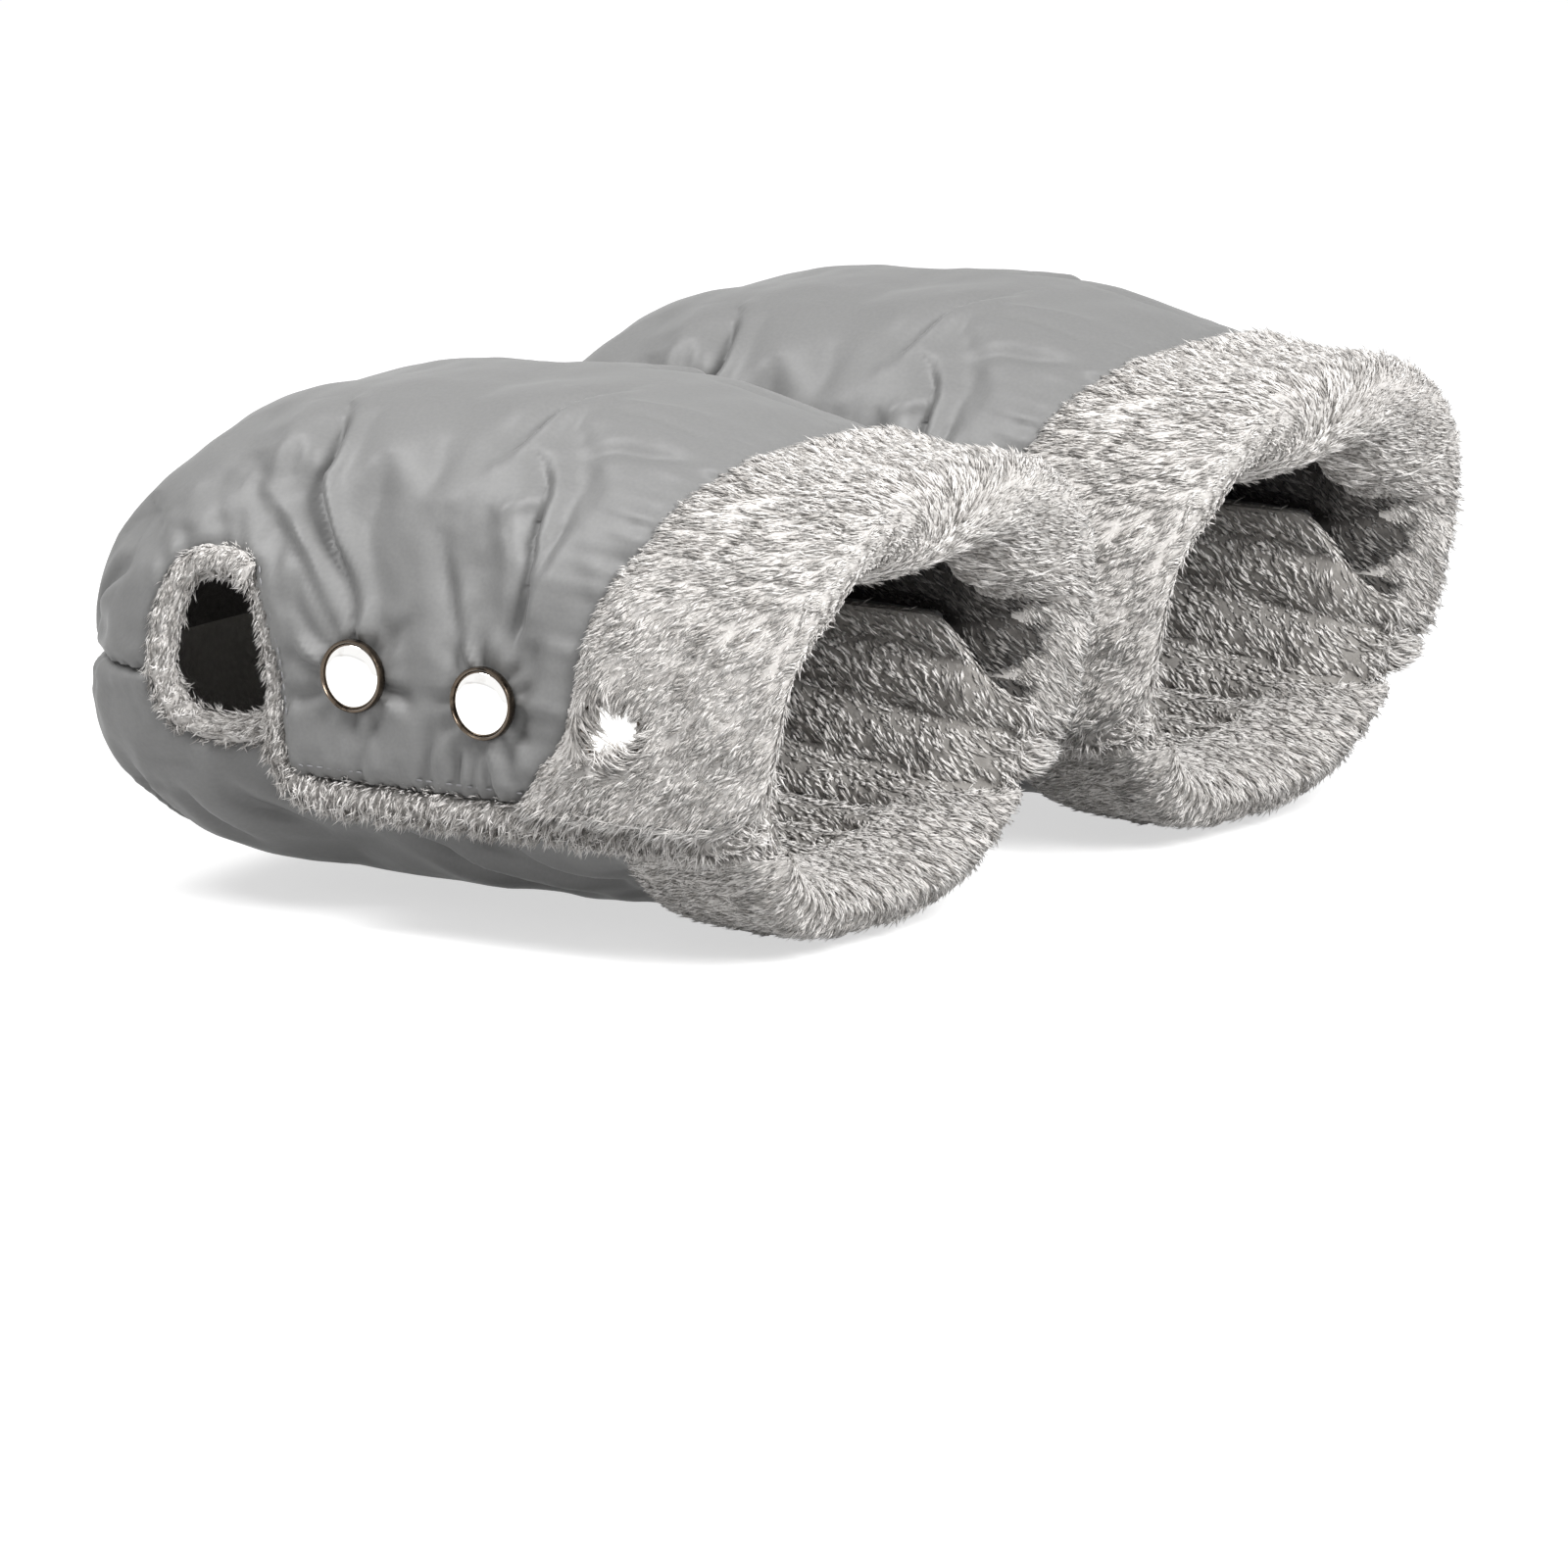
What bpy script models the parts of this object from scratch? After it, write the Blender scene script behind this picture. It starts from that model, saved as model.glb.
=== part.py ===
"""A pair of padded, plush-lined hand muffs for a stroller's handlebar, at rest, in metres, +Z up.

The origin is on the handlebar's axis, midway between the two muffs. +X runs from the closed nose
to the open mouth, where the hands go in, and +Y runs along the handlebar. Each muff is a padded
pocket of three layers: an outer shell, a filling and a plush lining that is turned out at the mouth
as a cuff. Its two sides are flaps of the upper panel. Each flap hinges along the shoulder and
snaps over a wing of the lower panel. The handlebar passes sideways through the two slots.
"""

import math

import bmesh
import bpy

# The form of one muff, measured from the handlebar's axis.
HALF_WIDTH = 0.075
NOSE_REACH = 0.054
NOSE_ROUND = 0.064
CROWN_X = 0.078
CROWN_HEIGHT = 0.077
HEIGHT_AT_BAR = 0.0695
HEIGHT_AT_END = 0.0625
BOTTOM_DEPTH = 0.056
SIDE_FALL = 0.090
SHELL_END = 0.168
SECTION_POWER = 2.6
NOSE_PLAN_POWER = 3.4
NOSE_PROFILE_POWER = 2.2

# The mouth leans back towards its foot: it moves this share of a length for each length down.
MOUTH_LEAN_SHARE = 0.22
LEAN_TOP = 0.050
LEAN_START = 0.040

# The layers, from the outside in, and the gaps between pieces.
SHELL_THICKNESS = 0.0008
PADDING_THICKNESS = 0.0050
LINING_THICKNESS = 0.0031
GAP = 0.0003
WING_CLEARANCE = 0.0020

# The slots for the handlebar, through both sides.
SLOT_HALF_LENGTH = 0.020
SLOT_FOOT = 0.022

# The flaps, their hinge line at the shoulder and the plush strip along their free edges.
SHOULDER_HEIGHT = 0.038
SHOULDER_MOST_SHARE = 0.72
BODY_MOST_SHARE = 0.86
STRIP_HEIGHT = -0.028
STRIP_RADIUS = 0.0046
STRIP_SIDES = 8
STRIP_TIP_BACK = 0.005
WING_HEIGHT = 0.014

# The cuff: the lining turned out over the shell and rolled round the mouth.
CUFF_TURNED_BACK = 0.018
CUFF_BACK_LEAN_SHARE = 0.32
CUFF_BACK_LEAN_TOP = 0.070
CUFF_BEYOND_SHELL = 0.030
CUFF_THICKNESS = 0.0060
CUFF_ROLL_TOP = 0.033
CUFF_ROLL_SIDE = 0.018
LOWER_CUFF_TURNED_BACK = 0.023
LOWER_CUFF_THICKNESS = 0.0070
LOWER_CUFF_ROLL = 0.015
LOWER_CUFF_DROP = 0.0006
ROLL_CLEARANCE = 0.0012
TONGUE_CLEARANCE = 0.0008

# The snaps: a cap with its socket on the flap, and a stud on the wing behind it. Each lies
# lower than the one before by SNAP_FALL.
SNAP_COUNT = 3
SNAP_FIRST_X = 0.0535
SNAP_SHORT_OF_END = 0.030
SNAP_FIRST_HEIGHT = 0.0065
SNAP_FALL = 0.003
CAP_RADIUS = 0.010
CAP_HEIGHT = 0.0034
SHANK_RADIUS = 0.0046
SOCKET_RADIUS = 0.0032
SOCKET_DEPTH = 0.0036
STUD_RADIUS = 0.0019
STUD_BASE_RADIUS = 0.0056
STUD_BASE_THICKNESS = 0.0012
STUD_ENGAGED = 0.0028
CAP_SEGMENTS = 12
STUD_SEGMENTS = 10
CUT_OVERRUN = 0.004

# The space between the two muffs' cuffs.
SPACE_BETWEEN = 0.024

# The grid of the layers: stations along the muff and rows round it.
NOSE_STATION_SHARES = (1.0, 0.98, 0.92, 0.74, 0.42)
CHEEK_SHARES = (0.0, 0.5, 1.0)
CROWN_CELLS = 8
BOTTOM_CELLS = 6
FLAP_ROWS = 4
STRIP_STEPS = 6
CORNER_STEPS = 3

# What follows from the sizes above. PITCH is between the muffs' middles, along the handlebar.
PITCH = 2 * (HALF_WIDTH + CUFF_THICKNESS) + SPACE_BETWEEN
CUFF_FRONT = SHELL_END + CUFF_BEYOND_SHELL
CUFF_BACK = SHELL_END - CUFF_TURNED_BACK
LOWER_CUFF_BACK = SHELL_END - LOWER_CUFF_TURNED_BACK
FLAP_THICKNESS = SHELL_THICKNESS + PADDING_THICKNESS + LINING_THICKNESS + 2 * GAP
WING_INSET = FLAP_THICKNESS + WING_CLEARANCE
FLAP_FRONT = SLOT_HALF_LENGTH + 2 * (STRIP_RADIUS + GAP)
FLAP_FOOT = STRIP_HEIGHT + STRIP_RADIUS + GAP
CUFF_FOOT = STRIP_HEIGHT - STRIP_RADIUS - LOWER_CUFF_DROP
SNAP_SPACING = (SHELL_END - SNAP_SHORT_OF_END - SNAP_FIRST_X) / (SNAP_COUNT - 1)
LAYERS = (
    ("shell", 0.0, SHELL_THICKNESS),
    ("padding", SHELL_THICKNESS + GAP, SHELL_THICKNESS + GAP + PADDING_THICKNESS),
    ("lining", FLAP_THICKNESS - LINING_THICKNESS, FLAP_THICKNESS),
)


def clear_scene():
    for obj in list(bpy.data.objects):
        bpy.data.objects.remove(obj, do_unlink=True)


def make_material(name, colour, roughness, metallic=0.0):
    material = bpy.data.materials.new(name)
    material.use_nodes = True
    shader = material.node_tree.nodes["Principled BSDF"]
    shader.inputs["Base Color"].default_value = (*colour, 1.0)
    shader.inputs["Roughness"].default_value = roughness
    shader.inputs["Metallic"].default_value = metallic
    material.diffuse_color = (*colour, 1.0)
    return material


def blend_share(value, start, end):
    """0 before start, 1 after end, with a smooth rise between them."""
    share = min(1.0, max(0.0, (value - start) / (end - start)))
    return share * share * (3.0 - 2.0 * share)


# The form of one muff


def nose_share(x, depth, power):
    """How full the section is at x: 1 from the handlebar back, 0 at the tip of the nose.

    The nose is squarer seen from above, by NOSE_PLAN_POWER, than seen from the side.
    """
    start = NOSE_ROUND - NOSE_REACH
    past = min(1.0, max(0.0, (start - x) / (NOSE_ROUND - depth)))
    return (1.0 - past**power) ** (1.0 / power)


def top_height(x):
    """The crown's height above the handlebar's axis: highest at CROWN_X, lower at both ends."""
    if x < CROWN_X:
        drop = CROWN_HEIGHT - HEIGHT_AT_BAR
        return CROWN_HEIGHT - drop * ((CROWN_X - x) / CROWN_X) ** 2
    drop = CROWN_HEIGHT - HEIGHT_AT_END
    share = min(1.0, (x - CROWN_X) / (SHELL_END - CROWN_X))
    return CROWN_HEIGHT - drop * share**2


def section_angle(height, full_height):
    """The superellipse's angle at a height above (positive) or below its middle."""
    share = min(1.0, abs(height) / full_height) if full_height > 0.0 else 0.0
    return math.copysign(math.asin(share ** (SECTION_POWER / 2.0)), height)


def section_point(angle, half_width, full_height):
    across = abs(math.cos(angle)) ** (2.0 / SECTION_POWER) * half_width
    up = abs(math.sin(angle)) ** (2.0 / SECTION_POWER) * full_height
    return across, math.copysign(up, math.sin(angle))


def station_x(station, depth):
    """A station is a share of the nose where it is negative, and else a length past the slots."""
    if station >= 0.0:
        return station - SLOT_HALF_LENGTH
    tip = depth - NOSE_REACH
    return -SLOT_HALF_LENGTH + station * (-SLOT_HALF_LENGTH - tip)


def leaned(x, height):
    """x moved back by the mouth's lean, for a row of the grid whose outer face is at this height."""
    most = MOUTH_LEAN_SHARE * max(0.0, LEAN_TOP - height)
    return x - most * blend_share(x, LEAN_START, SHELL_END)


def face_height(row, full_height, edge_height):
    """The height of a row on the outer face, whatever the depth: 1 is the edge, 2 the middle."""
    edge = min(edge_height, SHOULDER_MOST_SHARE * full_height)
    if row <= 1.0:
        return edge * row
    low = section_angle(edge, full_height)
    angle = low + (math.pi / 2.0 - low) * (row - 1.0)
    return section_point(angle, 0.0, full_height)[1]


def upper_point(station, row, depth):
    """A point of the upper panel's form, on the near side of the middle (y negative).

    A row up to 1 is a height as a share of the shoulder's, and from 1 to 2 it climbs the crown.
    """
    x = station_x(station, depth)
    half_width = (HALF_WIDTH - depth) * nose_share(x, depth, NOSE_PLAN_POWER)
    top = (top_height(x) - depth) * nose_share(x, depth, NOSE_PROFILE_POWER)
    if row < 0.0:
        height = row * SHOULDER_HEIGHT
        angle = section_angle(height, SIDE_FALL - depth)
        across = section_point(angle, half_width, SIDE_FALL - depth)[0]
        return leaned(x, height), -across, height
    body = blend_share(x, -SLOT_HALF_LENGTH, SLOT_HALF_LENGTH)
    most_share = SHOULDER_MOST_SHARE + (BODY_MOST_SHARE - SHOULDER_MOST_SHARE) * body
    shoulder = min(SHOULDER_HEIGHT, most_share * top)
    low = section_angle(shoulder * min(row, 1.0), top)
    angle = low + (math.pi / 2.0 - low) * max(0.0, row - 1.0)
    across, up = section_point(angle, half_width, top)
    outer_top = top_height(x) * nose_share(x, 0.0, NOSE_PROFILE_POWER)
    face = face_height(row, outer_top, SHOULDER_HEIGHT)
    return leaned(x, face), -across, up


def lower_point(station, row, depth):
    """A point of the lower panel's form, on the near side of the middle.

    A row up to 1 is a height: 1 at CUFF_FOOT. From 1 to 2 it goes on down to the bottom's middle.
    """
    x = station_x(station, depth)
    inset = WING_INSET * blend_share(x, -SLOT_HALF_LENGTH, SLOT_HALF_LENGTH)
    half_width = (HALF_WIDTH - inset - depth) * nose_share(x, depth, NOSE_PLAN_POWER)
    bottom = (BOTTOM_DEPTH - depth) * nose_share(x, depth, NOSE_PROFILE_POWER)
    if row < 0.0:
        height = row * CUFF_FOOT
        top = top_height(x) - inset - depth
        across = section_point(section_angle(height, top), half_width, top)[0]
        return leaned(x, height), -across, height
    height = CUFF_FOOT * min(row, 1.0) * min(1.0, SHOULDER_MOST_SHARE * bottom / -CUFF_FOOT)
    low = section_angle(height, bottom) if row > 0.0 else 0.0
    angle = low - (math.pi / 2.0 + low) * max(0.0, row - 1.0)
    across, up = section_point(angle, half_width, bottom)
    outer_bottom = BOTTOM_DEPTH * nose_share(x, 0.0, NOSE_PROFILE_POWER)
    face = -face_height(row, outer_bottom, -CUFF_FOOT)
    return leaned(x, face), -across, up


def ring(point, station, rows, depth, lift):
    """One ring of the grid, from the near side over the middle to the far side."""
    near = [point(station, row, depth) for row in rows]
    ring_points = [(x, y, z + lift) for x, y, z in near]
    return ring_points + [(x, -y, z) for x, y, z in reversed(ring_points[:-1])]


# Meshes


def add_quad(bm, corners):
    """A face through these vertices, or none where they fall together."""
    kept = []
    for vertex in corners:
        if vertex not in kept:
            kept.append(vertex)
    if len(kept) > 2 and bm.faces.get(kept) is None:
        bm.faces.new(kept)


def finish_mesh(bm):
    bm.normal_update()
    bmesh.ops.triangulate(bm, faces=bm.faces[:], quad_method="FIXED", ngon_method="EAR_CLIP")
    bmesh.ops.recalc_face_normals(bm, faces=bm.faces[:])
    if bm.calc_volume(signed=True) < 0.0:
        bmesh.ops.reverse_faces(bm, faces=bm.faces[:])


def layer_mesh(outer, inner, filled):
    """A closed plate between two grids of points, over the cells that filled(i, j) names."""
    bm = bmesh.new()
    made = {}

    def vertex(grid, i, j):
        key = tuple(round(value * 1e7) for value in grid[i][j])
        if key not in made:
            made[key] = bm.verts.new(grid[i][j])
        return made[key]

    columns = len(outer) - 1
    rows = len(outer[0]) - 1
    cells = {(i, j) for i in range(columns) for j in range(rows) if filled(i, j)}
    for i, j in sorted(cells):
        corners = ((i, j), (i + 1, j), (i + 1, j + 1), (i, j + 1))
        add_quad(bm, [vertex(outer, *corner) for corner in corners])
        turned = (corners[0], corners[3], corners[2], corners[1])
        add_quad(bm, [vertex(inner, *corner) for corner in turned])
        beyond = ((i, j - 1), (i + 1, j), (i, j + 1), (i - 1, j))
        for side, neighbour in enumerate(beyond):
            if neighbour in cells:
                continue
            a, b = corners[side], corners[(side + 1) % 4]
            rim = (vertex(outer, *b), vertex(outer, *a), vertex(inner, *a), vertex(inner, *b))
            add_quad(bm, rim)
    finish_mesh(bm)
    return bm


def swept_mesh(sections):
    """A closed solid through a row of like sections, each a loop of points, with flat ends."""
    bm = bmesh.new()
    loops = [[bm.verts.new(point) for point in section] for section in sections]
    for this, following in zip(loops, loops[1:]):
        for k, vertex in enumerate(this):
            after = (k + 1) % len(this)
            bm.faces.new((this[after], following[after], following[k], vertex))
    bm.faces.new(loops[0])
    bm.faces.new(loops[-1])
    finish_mesh(bm)
    return bm


def turned_mesh(profile, segments, x, z, side):
    """A turned solid whose axis runs along Y at x, z. The profile is (radius, distance out)."""
    bm = bmesh.new()
    rings = []
    for radius, out in profile:
        if radius == 0.0:
            rings.append([bm.verts.new((x, side * out, z))])
            continue
        turns = [2.0 * math.pi * k / segments for k in range(segments)]
        points = [(x + radius * math.cos(a), side * out, z + radius * math.sin(a)) for a in turns]
        rings.append([bm.verts.new(point) for point in points])
    for this, following in zip(rings, rings[1:]):
        for k in range(segments):
            after = (k + 1) % segments
            corners = (this[k % len(this)], this[after % len(this)])
            corners += (following[after % len(following)], following[k % len(following)])
            add_quad(bm, corners)
    finish_mesh(bm)
    return bm


# Objects


def add_empty(name, place, parent=None):
    empty = bpy.data.objects.new(name, None)
    empty.location = place
    empty.parent = parent
    bpy.context.scene.collection.objects.link(empty)
    return empty


def add_piece(name, bm, material, parent, origin):
    """An object from a mesh in the muff's own place, with its origin at its parent's."""
    for vertex in bm.verts:
        vertex.co.x -= origin[0]
        vertex.co.y -= origin[1]
        vertex.co.z -= origin[2]
    mesh = bpy.data.meshes.new(name)
    bm.to_mesh(mesh)
    bm.free()
    obj = bpy.data.objects.new(name, mesh)
    obj.parent = parent
    bpy.context.scene.collection.objects.link(obj)
    mesh.materials.append(material)
    mesh.shade_smooth()
    mesh.set_sharp_from_angle(angle=math.radians(40.0))
    return obj


def cut(obj, cutter):
    modifier = obj.modifiers.new("Hole for " + cutter.name, "BOOLEAN")
    modifier.operation = "DIFFERENCE"
    modifier.solver = "EXACT"
    modifier.object = cutter


def add_cutter(name, bm, material, parent, origin):
    cutter = add_piece(name, bm, material, parent, origin)
    cutter.hide_render = True
    cutter.display_type = "WIRE"
    return cutter


# Stations along the muff, as station_x reads them

NOSE_STATIONS = [-share for share in NOSE_STATION_SHARES] + [0.0]
SLOT_STATIONS = [SLOT_HALF_LENGTH, 2.0 * SLOT_HALF_LENGTH]
FLAP_START = FLAP_FRONT + SLOT_HALF_LENGTH
BODY_PLACES = (FLAP_FRONT, (FLAP_FRONT + CROWN_X) / 2.0, CROWN_X, (CROWN_X + CUFF_BACK) / 2.0)
BODY_STATIONS = [place + SLOT_HALF_LENGTH for place in BODY_PLACES + (CUFF_BACK,)]
END_STATION = SHELL_END + SLOT_HALF_LENGTH
STATIONS = NOSE_STATIONS + SLOT_STATIONS + BODY_STATIONS + [END_STATION]
LOWER_STATIONS = STATIONS[:-2] + [LOWER_CUFF_BACK + SLOT_HALF_LENGTH, END_STATION]
NOSE_CELLS = len(NOSE_STATION_SHARES)
SLOT_CELLS = len(SLOT_STATIONS)


def upper_rows():
    """Rows of the nose's cheeks and of the crown, to the crown's middle."""
    climbs = [1.0 + 2.0 * k / CROWN_CELLS for k in range(1, CROWN_CELLS // 2 + 1)]
    return list(CHEEK_SHARES) + climbs


def lower_rows():
    """Rows from the wing's top down to the bottom's middle, and how many are on each stage."""
    wing = [WING_HEIGHT / CUFF_FOOT]
    low = [0.0, -SLOT_FOOT / CUFF_FOOT, 1.0]
    falls = [1.0 + 2.0 * k / BOTTOM_CELLS for k in range(1, BOTTOM_CELLS // 2 + 1)]
    return wing + low + falls


def upper_layers(name, empty, origin, materials):
    rows = upper_rows()
    cheeks = len(CHEEK_SHARES) - 1
    across = 2 * (len(rows) - 1)

    def filled(i, j):
        on_crown = cheeks <= j < across - cheeks
        return on_crown or i < NOSE_CELLS

    for layer, outer_depth, inner_depth in LAYERS:
        grids = []
        for depth in (outer_depth, inner_depth):
            grids.append([ring(upper_point, s, rows, depth, GAP / 2.0) for s in STATIONS])
        bm = layer_mesh(grids[0], grids[1], filled)
        add_piece(f"{name}_upper_{layer}", bm, materials[layer], empty, origin)


def lower_layers(name, empty, origin, materials):
    rows = lower_rows()
    last = 2 * (len(rows) - 1) - 1
    nose_end = NOSE_CELLS
    slot_end = NOSE_CELLS + SLOT_CELLS

    def filled(i, j):
        step = min(j, last - j)
        if i < nose_end:
            return step >= 1
        if i < slot_end:
            return step >= 2
        return True

    for layer, outer_depth, inner_depth in LAYERS:
        grids = []
        for depth in (outer_depth, inner_depth):
            rings = [ring(lower_point, s, rows, depth, -GAP / 2.0) for s in LOWER_STATIONS]
            grids.append(rings)
        bm = layer_mesh(grids[0], grids[1], filled)
        add_piece(f"{name}_lower_{layer}", bm, materials[layer], empty, origin)


def cuff_section(back, outward, inward):
    """The cuff's section as (place along the muff, depth): a tongue on the shell and a roll."""
    length = CUFF_FRONT - back
    roll = CUFF_FRONT - SHELL_END
    return (
        (back, -TONGUE_CLEARANCE),
        (back + 0.04 * length, -0.62 * outward),
        (back + 0.18 * length, -outward),
        (CUFF_FRONT - 0.52 * roll, -outward),
        (CUFF_FRONT - 0.16 * roll, -0.4 * outward),
        (CUFF_FRONT, 0.25 * inward),
        (CUFF_FRONT - 0.04 * roll, 0.66 * inward),
        (CUFF_FRONT - 0.30 * roll, 0.95 * inward),
        (CUFF_FRONT - 0.66 * roll, inward),
        (SHELL_END + ROLL_CLEARANCE, 0.62 * inward),
        (SHELL_END + ROLL_CLEARANCE, -TONGUE_CLEARANCE),
    )


def cuff_sections(point, rows, back_at, outward, inward_at, lift):
    """The cuff's section set up on each row of a form, on the near side."""
    sections = []
    for row in rows:
        loop = []
        for x, depth in cuff_section(back_at(row), outward, inward_at(row)):
            place = point(x + SLOT_HALF_LENGTH, row, depth)
            loop.append((place[0], place[1], place[2] + lift))
        sections.append(loop)
    return sections


def mirrored(sections):
    return [[(x, -y, z) for x, y, z in loop] for loop in sections]


def over_the_middle(sections):
    """Near-side sections, whose last is on the middle, carried on over the far side."""
    return sections + mirrored(list(reversed(sections[:-1])))


def upper_inward(row):
    """The roll is thickest over the top of the mouth and thinner down its sides."""
    climb = math.sin(math.pi / 2.0 * max(0.0, row - 1.0))
    return CUFF_ROLL_SIDE + (CUFF_ROLL_TOP - CUFF_ROLL_SIDE) * climb


def lower_inward(row):
    return LOWER_CUFF_ROLL


def upper_back(row):
    """The cuff's back edge slants forward towards the crown."""
    outer_top = top_height(CUFF_BACK)
    height = face_height(row, outer_top, SHOULDER_HEIGHT)
    return CUFF_BACK - CUFF_BACK_LEAN_SHARE * max(0.0, CUFF_BACK_LEAN_TOP - height)


def lower_back(row):
    return LOWER_CUFF_BACK


def fixed_cuffs(name, empty, origin, materials):
    rows = [row for row in upper_rows() if row >= 1.0]
    near = cuff_sections(
        upper_point, rows, upper_back, CUFF_THICKNESS, upper_inward, GAP / 2.0
    )
    bm = swept_mesh(over_the_middle(near))
    add_piece(f"{name}_upper_cuff", bm, materials["plush"], empty, origin)
    rows = [row for row in lower_rows() if row >= 1.0]
    near = cuff_sections(
        lower_point, rows, lower_back, LOWER_CUFF_THICKNESS, lower_inward, -GAP / 2.0
    )
    bm = swept_mesh(over_the_middle(near))
    add_piece(f"{name}_lower_cuff", bm, materials["plush"], empty, origin)


# The flaps: rows are heights as shares of the shoulder's, from the flap's foot up


def flap_rows():
    foot = FLAP_FOOT / SHOULDER_HEIGHT
    return [foot + (1.0 - foot) * k / FLAP_ROWS for k in range(FLAP_ROWS + 1)]


def hinge_reach():
    """How far out the hinge line runs: as far as the cuff's outer face at the shoulder."""
    outermost = 0.0
    for x, depth in cuff_section(upper_back(1.0), CUFF_THICKNESS, CUFF_ROLL_SIDE):
        outermost = max(outermost, -upper_point(x + SLOT_HALF_LENGTH, 1.0, depth)[1])
    return outermost + GAP


def strip_path():
    """The strip's middle line as (x, height, direction): down the slot's side and along the foot."""
    line_x = FLAP_FRONT - STRIP_RADIUS - GAP
    corner = STRIP_RADIUS + GAP
    end_x = leaned(CUFF_FRONT, STRIP_HEIGHT) - STRIP_TIP_BACK
    top = SHOULDER_HEIGHT - GAP / 2.0
    path = []
    for k in range(STRIP_STEPS):
        path.append((line_x, top + (FLAP_FOOT - top) * k / STRIP_STEPS, -math.pi / 2.0))
    for k in range(CORNER_STEPS + 1):
        turn = math.pi / 2.0 * k / CORNER_STEPS
        x = FLAP_FRONT - corner * math.cos(turn)
        path.append((x, FLAP_FOOT - corner * math.sin(turn), turn - math.pi / 2.0))
    for k in range(1, 2 * STRIP_STEPS + 1):
        path.append((FLAP_FRONT + (end_x - FLAP_FRONT) * k / (2 * STRIP_STEPS), STRIP_HEIGHT, 0.0))
    return path


def strip_sections(side):
    """Rings round the strip's middle line, half way through the flap's thickness."""
    sections = []
    for x, height, direction in strip_path():
        middle = -upper_point(x + SLOT_HALF_LENGTH, height / SHOULDER_HEIGHT, 0.0)[1]
        middle -= FLAP_THICKNESS / 2.0
        loop = []
        for k in range(STRIP_SIDES):
            turn = 2.0 * math.pi * (k + 0.5) / STRIP_SIDES
            out = middle + STRIP_RADIUS * math.cos(turn)
            across = STRIP_RADIUS * math.sin(turn)
            place = (x - across * math.sin(direction), height + across * math.cos(direction))
            loop.append((place[0], side * out, place[1]))
        sections.append(loop)
    return sections


def cap_profile():
    """The snap's cap, shank and socket, from the dome's middle out, down and into the socket."""
    seat = HALF_WIDTH + GAP
    inner = HALF_WIDTH - FLAP_THICKNESS
    return (
        (0.0, seat + CAP_HEIGHT),
        (0.62 * CAP_RADIUS, seat + 0.82 * CAP_HEIGHT),
        (CAP_RADIUS, seat + 0.36 * CAP_HEIGHT),
        (CAP_RADIUS, seat),
        (SHANK_RADIUS, seat),
        (SHANK_RADIUS, inner),
        (SOCKET_RADIUS, inner),
        (SOCKET_RADIUS, inner + SOCKET_DEPTH),
        (0.0, inner + SOCKET_DEPTH),
    )


def stud_profile():
    seat = HALF_WIDTH - WING_INSET + GAP
    base = seat + STUD_BASE_THICKNESS
    tip = HALF_WIDTH - FLAP_THICKNESS + STUD_ENGAGED
    return (
        (0.0, tip),
        (STUD_RADIUS, tip),
        (STUD_RADIUS, base),
        (STUD_BASE_RADIUS, base),
        (STUD_BASE_RADIUS, seat),
        (0.0, seat),
    )


def snap_places():
    """The snaps' middles as (x, height), from the nose's end to the mouth's."""
    places = []
    for k in range(SNAP_COUNT):
        places.append((SNAP_FIRST_X + SNAP_SPACING * k, SNAP_FIRST_HEIGHT - SNAP_FALL * k))
    return places


def hole_profile(radius, inner, outer):
    return ((0.0, outer), (radius, outer), (radius, inner), (0.0, inner))


def flap(name, side, empty, origin, materials):
    """One side flap: its layers, its part of the cuff, its plush strip and its snap caps."""
    lift = -GAP / 2.0
    rows = flap_rows()
    stations = [s for s in STATIONS if s >= FLAP_START]
    pieces = []
    for layer, outer_depth, inner_depth in LAYERS:
        grids = []
        for depth in (outer_depth, inner_depth):
            grid = []
            for station in stations:
                near = [upper_point(station, row, depth) for row in rows]
                grid.append([(x, -side * y, z + lift) for x, y, z in near])
            grids.append(grid)
        bm = layer_mesh(grids[0], grids[1], lambda i, j: True)
        pieces.append(add_piece(f"{name}_{layer}", bm, materials[layer], empty, origin))

    near = cuff_sections(upper_point, rows, upper_back, CUFF_THICKNESS, upper_inward, lift)
    bm = swept_mesh(near if side < 0 else mirrored(near))
    cuff = add_piece(f"{name}_cuff", bm, materials["plush"], empty, origin)
    bm = swept_mesh(strip_sections(side))
    add_piece(f"{name}_strip", bm, materials["plush"], empty, origin)

    for number, (x, height) in enumerate(snap_places(), start=1):
        bm = turned_mesh(cap_profile(), CAP_SEGMENTS, x, height, side)
        add_piece(f"{name}_cap_{number}", bm, materials["metal"], empty, origin)
        inner = HALF_WIDTH - FLAP_THICKNESS - CUT_OVERRUN / 2.0
        profile = hole_profile(SHANK_RADIUS + GAP, inner, HALF_WIDTH + CUT_OVERRUN)
        bm = turned_mesh(profile, CAP_SEGMENTS, x, height, side)
        hole = add_cutter(f"{name}_hole_{number}", bm, materials["metal"], empty, origin)
        for piece in pieces:
            cut(piece, hole)
        if x + CAP_RADIUS > leaned(upper_back(height / SHOULDER_HEIGHT), height):
            outer = HALF_WIDTH + CUFF_THICKNESS + CUT_OVERRUN
            profile = hole_profile(CAP_RADIUS + GAP, HALF_WIDTH - GAP, outer)
            bm = turned_mesh(profile, CAP_SEGMENTS, x, height, side)
            hollow = add_cutter(f"{name}_hollow_{number}", bm, materials["metal"], empty, origin)
            cut(cuff, hollow)


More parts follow.
